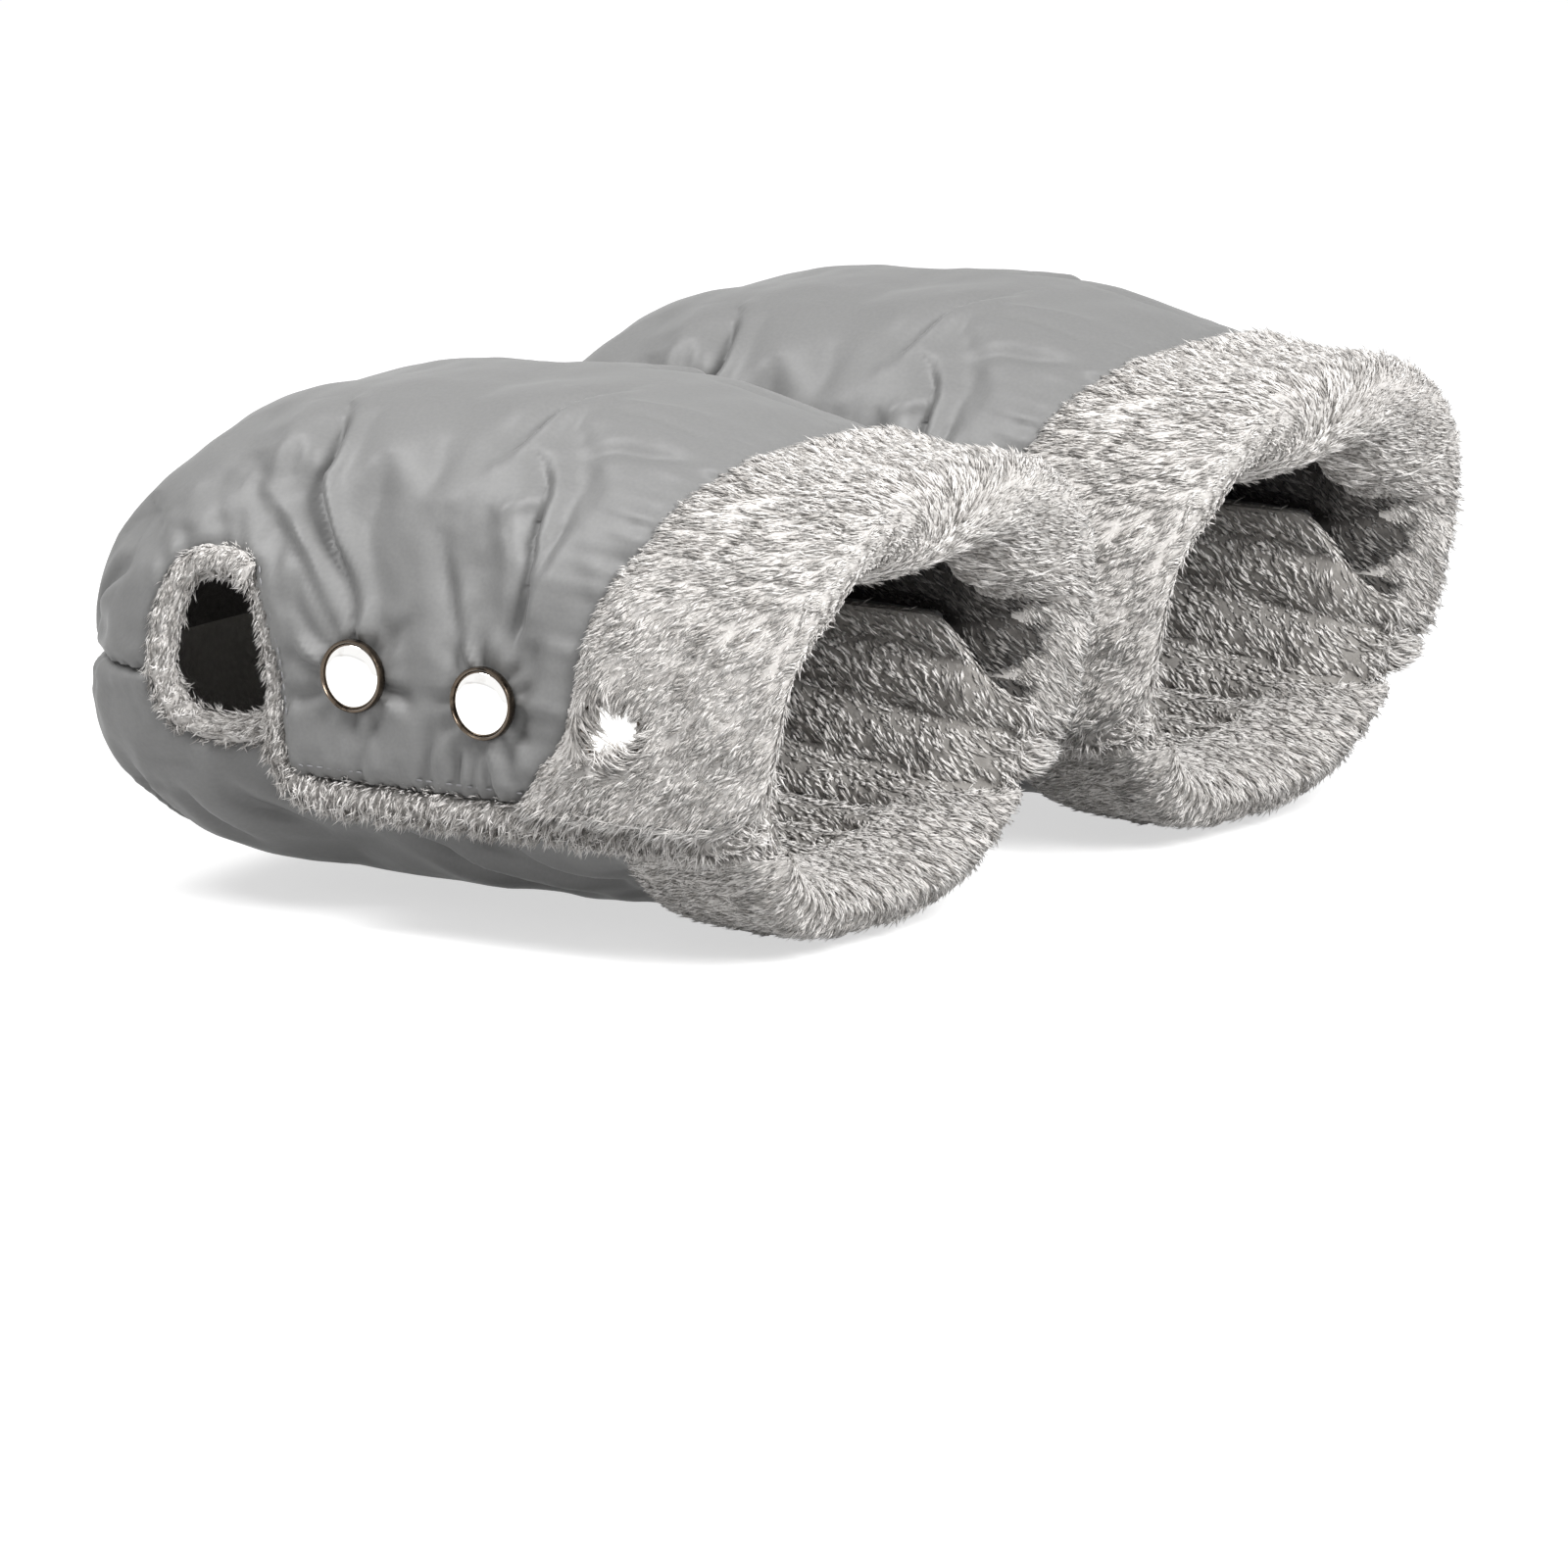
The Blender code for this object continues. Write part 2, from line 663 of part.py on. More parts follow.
def muff(name, middle, materials):
    """One muff round a point of the handlebar's axis, with its two flaps."""
    empty = add_empty(f"{name}_on_handlebar", (0.0, middle, 0.0))
    centre = (0.0, 0.0, 0.0)
    upper_layers(name, empty, centre, materials)
    lower_layers(name, empty, centre, materials)
    fixed_cuffs(name, empty, centre, materials)
    for flap_name, side in (("near", -1), ("far", 1)):
        hinge = (0.0, side * hinge_reach(), SHOULDER_HEIGHT)
        hinge_empty = add_empty(f"{name}_{flap_name}_hinge", hinge, empty)
        flap(f"{name}_{flap_name}_flap", side, hinge_empty, hinge, materials)
        for number, (x, height) in enumerate(snap_places(), start=1):
            bm = turned_mesh(stud_profile(), STUD_SEGMENTS, x, height, side)
            stud_name = f"{name}_{flap_name}_stud_{number}"
            add_piece(stud_name, bm, materials["metal"], empty, centre)


def build():
    clear_scene()
    plush = make_material("warm grey plush", (0.53, 0.50, 0.47), 0.95)
    materials = {
        "shell": make_material("satin grey shell", (0.27, 0.27, 0.28), 0.5),
        "padding": make_material("white filling", (0.80, 0.80, 0.78), 0.9),
        "lining": plush,
        "plush": plush,
        "metal": make_material("nickel snap", (0.72, 0.70, 0.68), 0.15, 1.0),
    }
    muff("left", -PITCH / 2.0, materials)
    muff("right", PITCH / 2.0, materials)


build()
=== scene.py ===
import math

import bmesh
import bpy
import numpy as np
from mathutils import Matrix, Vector
from mathutils.kdtree import KDTree


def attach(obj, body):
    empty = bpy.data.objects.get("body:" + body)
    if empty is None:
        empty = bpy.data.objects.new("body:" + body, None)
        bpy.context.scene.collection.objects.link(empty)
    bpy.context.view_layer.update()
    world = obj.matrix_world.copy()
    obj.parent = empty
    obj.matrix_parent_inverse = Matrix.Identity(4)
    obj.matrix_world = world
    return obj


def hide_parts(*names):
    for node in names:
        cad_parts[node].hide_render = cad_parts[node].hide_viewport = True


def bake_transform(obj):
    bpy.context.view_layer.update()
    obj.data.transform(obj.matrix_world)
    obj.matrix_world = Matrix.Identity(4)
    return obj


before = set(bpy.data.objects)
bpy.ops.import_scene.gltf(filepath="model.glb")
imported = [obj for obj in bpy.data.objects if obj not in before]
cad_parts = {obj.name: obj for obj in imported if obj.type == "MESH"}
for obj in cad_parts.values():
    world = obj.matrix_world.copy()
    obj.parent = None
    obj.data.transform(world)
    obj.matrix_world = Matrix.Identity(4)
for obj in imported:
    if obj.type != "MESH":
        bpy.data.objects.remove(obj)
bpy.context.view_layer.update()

# THE CROWN QUILTS
# The upper panel of each muff: a satin-faced woven shell over a soft filling, cut in one piece
# over the top and round the nose. It is sewn down at its hems, and slack enough to fold.

MUFFS = {"left": -0.093, "right": 0.093}
HALF_WIDTH = 0.075
NOSE_REACH = 0.054
NOSE_ROUND = 0.064
NOSE_PLAN_POWER = 3.4
NOSE_PROFILE_POWER = 2.2
CROWN_X = 0.078
CROWN_HEIGHT = 0.077
HEIGHT_AT_SLOT = 0.0695
HEIGHT_AT_END = 0.0625
SIDE_FALL = 0.090
SHELL_END = 0.168
SECTION_POWER = 2.6
MOUTH_LEAN_SHARE = 0.22
LEAN_TOP = 0.050
LEAN_START = 0.040
SLOT_HALF_LENGTH = 0.020
SHOULDER_HEIGHT = 0.038
SHOULDER_MOST_SHARE = 0.72
BODY_MOST_SHARE = 0.86


def rise(value, start, end):
    """0 before start, 1 after end, with a smooth rise between them."""
    share = np.clip((value - start) / (end - start), 0.0, 1.0)
    return share * share * (3.0 - 2.0 * share)


def nose_share(x, depth, power):
    """How much of its full size the muff has at a place along its nose."""
    start = NOSE_ROUND - NOSE_REACH
    past = np.clip((start - x) / (NOSE_ROUND - depth), 0.0, 1.0)
    return (1.0 - past**power) ** (1.0 / power)


def top_height(x):
    front = (CROWN_HEIGHT - HEIGHT_AT_SLOT) * ((CROWN_X - x) / CROWN_X) ** 2
    share = np.minimum(1.0, (x - CROWN_X) / (SHELL_END - CROWN_X))
    back = (CROWN_HEIGHT - HEIGHT_AT_END) * share**2
    return CROWN_HEIGHT - np.where(x < CROWN_X, front, back)


def section_angle(height, full_height):
    share = np.clip(np.abs(height) / np.maximum(full_height, 1e-9), 0.0, 1.0)
    return np.sign(height) * np.arcsin(share ** (SECTION_POWER / 2.0))


def section_point(angle, half_width, full_height):
    across = np.abs(np.cos(angle)) ** (2.0 / SECTION_POWER) * half_width
    up = np.abs(np.sin(angle)) ** (2.0 / SECTION_POWER) * full_height
    return across, np.sign(angle) * up


def station_x(station, depth):
    """A station is a share of the nose where it is negative, and else a length past its end."""
    nose = -SLOT_HALF_LENGTH + station * (NOSE_REACH - depth - SLOT_HALF_LENGTH)
    return np.where(station < 0.0, nose, station - SLOT_HALF_LENGTH)


def leaned(x, height):
    """The place along the muff once the mouth leans, with its foot drawn back."""
    most = MOUTH_LEAN_SHARE * np.maximum(0.0, LEAN_TOP - height)
    return x - most * rise(x, LEAN_START, SHELL_END)


def face_height(row, full_height, edge_height):
    """The height of a row on a panel's outer face, which sets how far it leans."""
    edge = np.minimum(edge_height, SHOULDER_MOST_SHARE * full_height)
    low = section_angle(edge, full_height)
    angle = low + (math.pi / 2.0 - low) * np.maximum(0.0, row - 1.0)
    return np.where(row <= 1.0, edge * row, section_point(angle, 0.0, full_height)[1])


def as_grids(*values):
    return np.broadcast_arrays(*(np.asarray(value, float) for value in values))


def upper_point(station, row, depth):
    """Points of the upper panel's near side: rows to 1 climb to the shoulder, to 2 the crown."""
    station, row, depth = as_grids(station, row, depth)
    x = station_x(station, depth)
    half_width = (HALF_WIDTH - depth) * nose_share(x, depth, NOSE_PLAN_POWER)
    top = (top_height(x) - depth) * nose_share(x, depth, NOSE_PROFILE_POWER)
    height = row * SHOULDER_HEIGHT
    low_across = section_point(section_angle(height, SIDE_FALL - depth), half_width, SIDE_FALL)[0]
    body = rise(x, -SLOT_HALF_LENGTH, SLOT_HALF_LENGTH)
    most_share = SHOULDER_MOST_SHARE + (BODY_MOST_SHARE - SHOULDER_MOST_SHARE) * body
    shoulder = np.minimum(SHOULDER_HEIGHT, most_share * top)
    low = section_angle(shoulder * np.clip(row, 0.0, 1.0), top)
    angle = low + (math.pi / 2.0 - low) * np.maximum(0.0, row - 1.0)
    across, up = section_point(angle, half_width, top)
    outer_top = top_height(x) * nose_share(x, 0.0, NOSE_PROFILE_POWER)
    face = np.where(row < 0.0, height, face_height(row, outer_top, SHOULDER_HEIGHT))
    below = row < 0.0
    return np.stack(
        [leaned(x, face), -np.where(below, low_across, across), np.where(below, height, up)], -1
    )


def nose_stations(step, first=0.0):
    """Shares of the nose, a step apart round its outline seen from above, from its tip back."""
    shares = np.linspace(0.0, 1.0, 1500)
    x = station_x(-shares - 1e-12, 0.0)
    width = HALF_WIDTH * nose_share(x, 0.0, NOSE_PLAN_POWER)
    along = np.concatenate([[0.0], np.cumsum(np.hypot(np.diff(x), np.diff(width)))])
    count = math.ceil((along[-1] - first) / step)
    return -np.interp(np.linspace(along[-1] - first, 0.0, count, endpoint=False), along, shares)


def body_stations(start, end, step):
    count = math.ceil((end - start) / step)
    return np.linspace(start, end, count + 1) + SLOT_HALF_LENGTH


FAR = np.array([1.0, -1.0, 1.0])
SIDES = {"near": np.ones(3), "far": FAR}


def joined(near, far=None, turned=True):
    """A near-side grid carried on over the middle by a far-side one, with its points turned."""
    far = (near if far is None else far)[:, -2::-1]
    return np.concatenate([near, far * FAR if turned else far], 1)


def both_sides(cells):
    return np.concatenate([cells, cells[:, ::-1]], 1)


def grid_on(point, stations, rows, depth=0.0):
    """A panel's points over all its stations and rows."""
    return point(stations[:, None], rows[None, :], depth)


def spaced(*spans):
    """Rows through a run of spans, each given by its first row, its last row and its count."""
    return np.concatenate([np.linspace(*span)[:-1] for span in spans] + [[spans[-1][1]]])


def cloth_place(stations, rows, point, side="near"):
    """For each grid point the cloth's own place: along the muff, and round it from the middle."""
    fine = np.linspace(rows[0], 2.0, 400)
    grid = grid_on(point, stations, fine)
    steps = np.linalg.norm(np.diff(grid, axis=1), axis=2)
    round_it = np.concatenate([np.zeros((len(stations), 1)), np.cumsum(steps, 1)], 1)
    round_it = round_it - round_it[:, -1:]
    place = np.stack([np.interp(rows, fine, line) for line in round_it])
    along = np.where(stations < 0.0, station_x(stations, 0.0), stations - SLOT_HALF_LENGTH)
    return np.broadcast_to(along[:, None], place.shape), place if side == "near" else -place


def distance_to(points, others, most=0.05):
    """The distance of each point to the nearest of the others, up to most."""
    flat = points.reshape(-1, 3)
    found = np.full(len(flat), most)
    for start in range(0, len(flat), 4000):
        gap = np.linalg.norm(flat[start : start + 4000, None] - others[None, :], axis=2)
        found[start : start + 4000] = np.minimum(most, gap.min(1))
    return found.reshape(points.shape[:-1])


def smooth_line(points, per_span):
    """A smooth line through a row of points, with so many steps on each span."""
    points = np.asarray(points, float)
    held = np.concatenate([[2 * points[0] - points[1]], points, [2 * points[-1] - points[-2]]])
    line = []
    for k in range(1, len(held) - 2):
        a, b, c, d = held[k - 1 : k + 3]
        for t in np.arange(per_span) / per_span:
            line.append(0.5 * (2 * b + (c - a) * t + (2 * a - 5 * b + 4 * c - d) * t**2
                               + (3 * b - a - 3 * c + d) * t**3))
    line.append(points[-1])
    return np.array(line)


# The slot is cut to an arch, and the flap's front edge leans: (x, height) on the side.
SLOT_ARCH = smooth_line((
    (0.0170, 0.0312), (0.0125, 0.0336), (0.0070, 0.0344), (0.0000, 0.0340), (-0.0065, 0.0308),
    (-0.0110, 0.0240), (-0.0135, 0.0165), (-0.0152, 0.0080), (-0.0152, -0.0010), (-0.0130, -0.0080),
    (-0.0090, -0.0135), (-0.0030, -0.0165), (0.0045, -0.0178), (0.0120, -0.0172), (0.0180, -0.0150),
    (0.0240, -0.0150),
), 7)
FLAP_FRONT = 0.0298
FLAP_TOP = 0.0326
FLAP_FRONT_HEIGHTS = (-0.0231, -0.0160, -0.0095, 0.0012, 0.0105, 0.0203, 0.0280, 0.0312)
FLAP_FRONT_PLACES = (0.0298, 0.0290, 0.0280, 0.0267, 0.0248, 0.0216, 0.0176, 0.0166)
FLAP_FOOT_ROW = -0.0231 / SHOULDER_HEIGHT
QUILT_END = 0.160


def inside_arch(x, height):
    """Whether a place on the side lies within the slot's arch."""
    edge = np.concatenate([SLOT_ARCH, [[0.05, SLOT_ARCH[-1, 1]], [0.05, SLOT_ARCH[0, 1]]]])
    inside = np.zeros(np.broadcast(x, height).shape, bool)
    for (x0, z0), (x1, z1) in zip(edge, np.roll(edge, -1, axis=0)):
        crosses = (z0 > height) != (z1 > height)
        slope = (x1 - x0) / np.where(z1 == z0, 1e-12, z1 - z0)
        inside ^= crosses & (x < x0 + (height - z0) * slope)
    return inside


def laid_on(line, point, edge_height):
    """A line given as (x, height) laid on a panel's near side."""
    reach = point(line[:, 0] + SLOT_HALF_LENGTH, line[:, 1] / edge_height, 0.0)[:, 1]
    return np.stack([line[:, 0], reach, line[:, 1]], 1)


def flap_front_line(per_span):
    """The flap's leaning front edge as (x, height), from its foot up."""
    return smooth_line(tuple(zip(FLAP_FRONT_PLACES, FLAP_FRONT_HEIGHTS)), per_span)


nose_seam = upper_point(np.concatenate([nose_stations(0.002), [0.0, 0.002]]), 0.0, 0.0)
UPPER_HEMS = np.concatenate([
    nose_seam, laid_on(SLOT_ARCH[SLOT_ARCH[:, 1] >= 0.0], upper_point, SHOULDER_HEIGHT),
    laid_on(flap_front_line(6), upper_point, SHOULDER_HEIGHT),
    upper_point(body_stations(FLAP_FRONT, QUILT_END, 0.002), FLAP_FOOT_ROW, 0.0),
])
HEM_ROUND = 0.0052
HEM_DROP = 0.0034
MM = 0.001
FOLD_LEAST_WIDTH = 2.1
FOLD_ROUND = 1.1
FOLD_STEEPNESS = 1.4
FOLD_MARGIN = 26.0
LIP_PLACE = 2.1
LIP_WIDTH = 1.5

# Each fold is its line as (along, round) in mm on the cloth, with near-side places negative, its
# depth, its half width on its left and right, and the height of the lip on its left and right.
UPPER_FOLDS = (
    (((26, -38), (29, -50), (30, -58), (29.5, -64), (31.5, -70), (35, -76), (40, -84), (45, -91),
      (48.5, -97), (51, -103)), 4.6, 3.4, 1.7, 0.8, 2.2),
    (((8, -62), (20, -72), (29, -79), (35, -84), (40, -90), (45, -96), (49, -102)),
     -1.3, 1.5, 1.5, 0.0, 0.0),
    (((22, -79), (31, -86), (36, -92), (40, -98), (45, -105)), 1.9, 2.2, 1.2, 0.0, 0.4),
    (((31, -97), (36, -103), (41, -109)), 1.1, 1.4, 1.2, 0.2, 0.4),
    (((98, -10), (95, -20), (91, -28), (88.5, -36), (86, -44), (84, -52)), 3.0, 3.4, 1.8, 0.4, 1.5),
    (((96, -52), (101, -60), (101.5, -68), (102.5, -75), (105, -81), (106, -88), (107.3, -95),
      (107.3, -102), (107, -111)), 4.2, 2.8, 1.4, 0.6, 1.8),
    (((90, -72), (97, -66.5), (103, -60.5)), -1.2, 1.2, 1.2, 0.0, 0.0),
    (((112, -68), (110.5, -78), (110.5, -84), (110, -90), (109, -97)), 2.0, 2.0, 1.4, 0.2, 0.8),
    (((76, -80), (79, -88), (83, -96), (86.5, -103), (88.5, -109), (89, -116)),
     2.0, 2.8, 1.6, 0.4, 0.7),
    (((92, -95), (90.5, -103), (90, -109)), 1.4, 1.6, 1.4, 0.2, 0.4),
    (((61, -128), (57, -135), (55.5, -141), (55.5, -149)), 1.5, 1.1, 1.0, 0.3, 0.5),
    (((82, -129), (79.5, -139), (79, -149)), 2.1, 2.2, 1.6, 0.3, 0.5),
    (((90.5, -133), (91, -141), (91, -150)), 2.2, 1.5, 1.4, 0.5, 0.6),
    (((97, -133), (97.5, -141), (98, -150)), 2.6, 1.5, 1.5, 0.6, 0.6),
    (((102.5, -135), (104, -143), (105, -151)), 2.6, 1.6, 1.6, 0.6, 0.5),
    (((28, -111.5), (36, -115), (43, -118)), 1.5, 1.1, 1.1, 0.5, 0.5),
    (((28, -126), (36, -124.5), (43, -122.5)), 1.5, 1.1, 1.1, 0.5, 0.5),
    (((62, -110), (66, -106.5), (72, -102)), 1.4, 1.0, 1.0, 0.3, 0.4),
    (((104, -22), (117, -17), (130, -15)), -1.0, 1.6, 1.6, 0.0, 0.0),
    (((103, -28), (118, -25), (138, -27)), 1.2, 2.4, 1.8, 0.3, 0.3),
    (((106, -47), (120, -41), (142, -36)), 1.4, 2.6, 2.0, 0.4, 0.4),
    (((64, -4), (61, -28), (64, -50), (69, -72)), 1.4, 8.0, 8.0, 0.0, 0.0),
    (((12, -30), (14, -46), (15, -64), (17, -84)), -1.3, 5.0, 5.0, 0.0, 0.0),
    (((-4, -30), (0, -46), (2, -60)), 1.4, 6.0, 6.0, 0.0, 0.0),
    (((-44, -69), (-37, -70), (-32, -73), (-26, -78)), 2.6, 1.3, 1.3, 0.4, 0.4),
    (((70, -106), (72, -120), (70, -134)), 1.2, 4.0, 4.0, 0.0, 0.0),
    (((116, -100), (114, -118), (112, -134)), 1.6, 3.4, 3.0, 0.4, 0.4),
    (((30, 34), (33, 48), (31, 60), (34, 74), (42, 88), (50, 101)), 4.2, 3.0, 1.8, 0.8, 2.0),
    (((16, 56), (27, 74), (38, 92), (45, 103)), -1.2, 1.6, 1.6, 0.0, 0.0),
    (((88, 20), (93, 36), (90, 50), (97, 66), (100, 84), (101, 108)), 3.6, 3.0, 1.7, 0.6, 1.6),
    (((110, 62), (108, 80), (109, 98)), 2.0, 2.2, 1.6, 0.4, 0.6),
    (((72, 78), (80, 94), (88, 110)), 1.9, 2.6, 1.6, 0.3, 0.6),
    (((60, 20), (56, 46), (62, 72)), 1.5, 8.0, 7.0, 0.0, 0.0),
    (((-34, 62), (-24, 68), (-12, 74)), 1.3, 1.6, 1.4, 0.3, 0.3),
    (((8, 24), (4, 42), (8, 62)), 1.5, 6.0, 6.0, 0.0, 0.0),
    (((58, 128), (54, 138), (54, 149)), 1.7, 1.4, 1.4, 0.4, 0.5),
    (((88, 130), (90, 140), (89, 150)), 2.2, 1.6, 1.6, 0.5, 0.5),
    (((98, 131), (99, 141), (101, 151)), 2.4, 1.6, 1.6, 0.5, 0.5),
    (((104, 20), (122, 18), (140, 22)), 1.2, 2.4, 2.0, 0.3, 0.3),
)


def hem_depth(away):
    """How far the shell rolls in towards a hem, for a distance from it."""
    share = np.clip(1.0 - away / HEM_ROUND, 0.0, 1.0)
    return HEM_DROP * (1.0 - np.sqrt(1.0 - share**2))


def fold_relief(along, round_it, folds):
    """The height of the folds over the smooth cloth."""
    relief = np.zeros(along.shape)
    place = np.stack([along, round_it], -1) / MM
    for line, depth, left, right, lip_left, lip_right in folds:
        line = smooth_line(line, 4)
        lengths = np.linalg.norm(np.diff(line, axis=0), axis=1)
        before = np.concatenate([[0.0], np.cumsum(lengths)])
        past_start = (place > line.min(0) - FOLD_MARGIN).all(-1)
        near_it = past_start & (place < line.max(0) + FOLD_MARGIN).all(-1)
        spot = place[near_it]
        best = np.full(len(spot), 1e9)
        side, share = np.zeros(len(spot)), np.zeros(len(spot))
        for k, (a, b) in enumerate(zip(line, line[1:])):
            d = b - a
            t = np.clip(((spot - a) @ d) / (d @ d), 0.0, 1.0)
            off = spot - a - t[:, None] * d
            gap = np.linalg.norm(off, axis=-1)
            nearer = gap < best
            best = np.where(nearer, gap, best)
            side = np.where(nearer, np.sign(d[0] * off[:, 1] - d[1] * off[:, 0]), side)
            share = np.where(nearer, (before[k] + t * lengths[k]) / before[-1], share)
        taper = np.sin(math.pi * np.clip(share, 0.03, 0.97)) ** 0.6
        width = np.maximum(np.where(side > 0.0, right, left), FOLD_LEAST_WIDTH)
        lip = np.where(side > 0.0, lip_right, lip_left)
        rounded = np.sqrt(best**2 + FOLD_ROUND**2) - 0.5 * FOLD_ROUND
        valley = -depth * np.exp(-((rounded / width) ** FOLD_STEEPNESS))
        beside = lip * np.exp(-(((best - LIP_PLACE * width) / (LIP_WIDTH * width)) ** 2))
        relief[near_it] += taper * (valley + beside)
    return relief * MM


def ripple(along, round_it, shortest, longest, seed):
    """Soft uneven waves with no direction of their own, about 1 high."""
    draw = np.random.default_rng(seed)
    total = np.zeros(np.broadcast(along, round_it).shape)
    for _ in range(14):
        wave = draw.uniform(shortest, longest)
        turn, phase = draw.uniform(0.0, 2.0 * math.pi, 2)
        total += np.sin(
            2.0 * math.pi / wave * (along * math.cos(turn) + round_it * math.sin(turn)) + phase
        )
    return total / 5.0


def gathers(along_hem, seed):
    """Uneven small gathers along a hem, about 1 high."""
    draw = np.random.default_rng(seed)
    total = np.zeros(np.shape(along_hem))
    for wave in (0.0058, 0.0081, 0.0112, 0.0167):
        total += np.sin(2.0 * math.pi * along_hem / wave + draw.uniform(0.0, 2.0 * math.pi))
    return total / 2.4


# The cuff's back edge on the side and the crown: its place along the muff for each height.
CUFF_EDGE_HEIGHTS = (-0.0231, -0.018, -0.0125, -0.008, -0.001, 0.021, 0.031, 0.040, 0.0485, 0.056,
                     0.0615, 0.069, 0.0725)
CUFF_EDGE_PLACES = (0.117, 0.1205, 0.1235, 0.1275, 0.1308, 0.1315, 0.1325, 0.1355, 0.140, 0.1425,
                    0.1455, 0.1505, 0.153)
SNAPS = ((0.0535, 0.0065), (0.09575, 0.0035), (0.138, 0.0005))


def cuff_back(row):
    """Where the cuff's back edge lies along the muff, on each row."""
    height = face_height(row, top_height(0.143), SHOULDER_HEIGHT)
    return np.interp(height, CUFF_EDGE_HEIGHTS, CUFF_EDGE_PLACES)


SIDE_FROM = 0.055
RAY_HEIGHT = 0.00060
RAY_PLACE = 0.0130
RAY_SPREAD = 0.0070
DIMPLE_DEPTH = 0.0024
DIMPLE_SPREAD = 0.0140


def snap_pull(points, seed):
    """The dimple and the short radiating pulls that each snap leaves in the cloth."""
    relief = np.zeros(points.shape[:-1])
    on_side = np.abs(points[..., 1]) > SIDE_FROM
    for number, (x, height) in enumerate(SNAPS):
        draw = np.random.default_rng(seed + number)
        across, up = points[..., 0] - x, points[..., 2] - height
        away = np.hypot(across, up)
        turn = np.arctan2(up, across)
        rays = np.zeros(away.shape)
        for count in (5, 7, 9, 13):
            rays += np.cos(count * turn + draw.uniform(0.0, 2.0 * math.pi))
        rays *= np.exp(-(((away - RAY_PLACE) / RAY_SPREAD) ** 2)) * RAY_HEIGHT
        relief += on_side * (rays - DIMPLE_DEPTH * np.exp(-((away / DIMPLE_SPREAD) ** 2)))
    return relief


SETTLE_STEP = 0.0044
SETTLE_FRAMES = 20
SETTLE_MOST = 0.0040
SETTLE_HOLD = 0.04
SEWN_WITHIN = 0.003
SNAP_HELD_WITHIN = 0.0075
SETTLED_CLOTH = {
    "quality": 6, "mass": 0.15, "tension_stiffness": 14.0, "compression_stiffness": 14.0,
    "shear_stiffness": 6.0, "bending_stiffness": 1.6, "use_pressure": True,
    "uniform_pressure_force": 3.0, "shrink_min": -0.024,
}


def new_mesh(name, points, faces, edges=()):
    mesh = bpy.data.meshes.new(name)
    mesh.from_pydata(np.asarray(points, float).tolist(), list(edges), faces)
    return mesh


def new_object(name, data):
    made = bpy.data.objects.new(name, data)
    bpy.context.scene.collection.objects.link(made)
    return made


def settle(points, filled, held):
    """How far each place of a sewn and filled cloth has risen once it settles, by simulation."""
    columns, rows = held.shape
    ids = np.arange(columns * rows).reshape(columns, rows)
    cells = np.stack([ids[:-1, :-1], ids[1:, :-1], ids[1:, 1:], ids[:-1, 1:]], -1)[filled]
    used, index = np.unique(cells, return_inverse=True)
    start = points.reshape(-1, 3)[used]
    mesh = new_mesh("cloth", start, index.reshape(-1, 4).tolist())
    normals = np.array([v.normal for v in mesh.vertices])
    if (normals * (start - [0.06, 0.0, 0.0])).sum() < 0.0:
        mesh.flip_normals()
        normals = -normals
    cloth = new_object("cloth", mesh)
    edges = np.concatenate([cells[:, [k, (k + 1) % 4]] for k in range(4)])
    edges, counts = np.unique(np.sort(edges, axis=1), axis=0, return_counts=True)
    sewn = np.isin(used, edges[counts == 1]) | held.reshape(-1)[used]
    pins = cloth.vertex_groups.new(name="sewn")
    pins.add(np.nonzero(sewn)[0].tolist(), 1.0, "REPLACE")
    pins.add(np.nonzero(~sewn)[0].tolist(), SETTLE_HOLD, "REPLACE")
    pad = cloth.modifiers.new("cloth", "CLOTH")
    for label, value in SETTLED_CLOTH.items():
        setattr(pad.settings, label, value)
    pad.settings.vertex_group_mass = "sewn"
    pad.settings.effector_weights.gravity = 0.0
    for number in range(1, SETTLE_FRAMES + 1):
        bpy.context.scene.frame_set(number)
    moved = cloth.evaluated_get(bpy.context.evaluated_depsgraph_get()).to_mesh()
    co = np.array([v.co for v in moved.vertices])
    risen = ((co - start) * normals).sum(1)
    bpy.context.scene.frame_set(1)
    bpy.data.objects.remove(cloth)
    lift = np.zeros(columns * rows)
    lift[used] = np.clip(np.nan_to_num(risen), -SETTLE_MOST, SETTLE_MOST)
    return lift.reshape(columns, rows)


def cells_of(point, stations, rows, wanted):
    """Which cells of a panel's grid are wanted, by the place of their middles."""
    flat = grid_on(point, stations, rows)
    middles = (flat[:-1, :-1] + flat[1:, 1:]) / 2.0
    return wanted(middles, np.broadcast_to((rows[:-1] + rows[1:]) / 2.0, middles.shape[:2]))


def settled_cloth(point, first_row, hems, is_cloth, is_held):
    """The settled lift of a panel over both its sides, with its stations and rows."""
    stations = np.concatenate([
        nose_stations(SETTLE_STEP, first=0.012),
        body_stations(-SLOT_HALF_LENGTH, QUILT_END, SETTLE_STEP),
    ])
    rows = spaced((first_row, 0.0, 6), (0.0, 1.0, 9), (1.0, 2.0, 18))
    near = grid_on(point, stations, rows)
    along, _ = cloth_place(stations, rows, point)
    held = distance_to(near, hems) < SEWN_WITHIN
    held |= is_held(near, along)
    held[0] = True
    held = joined(held, turned=False)
    filled = both_sides(cells_of(point, stations, rows, is_cloth))
    lift = settle(joined(near), filled, held)
    return lift, stations, np.concatenate([rows, 4.0 - rows[-2::-1]])


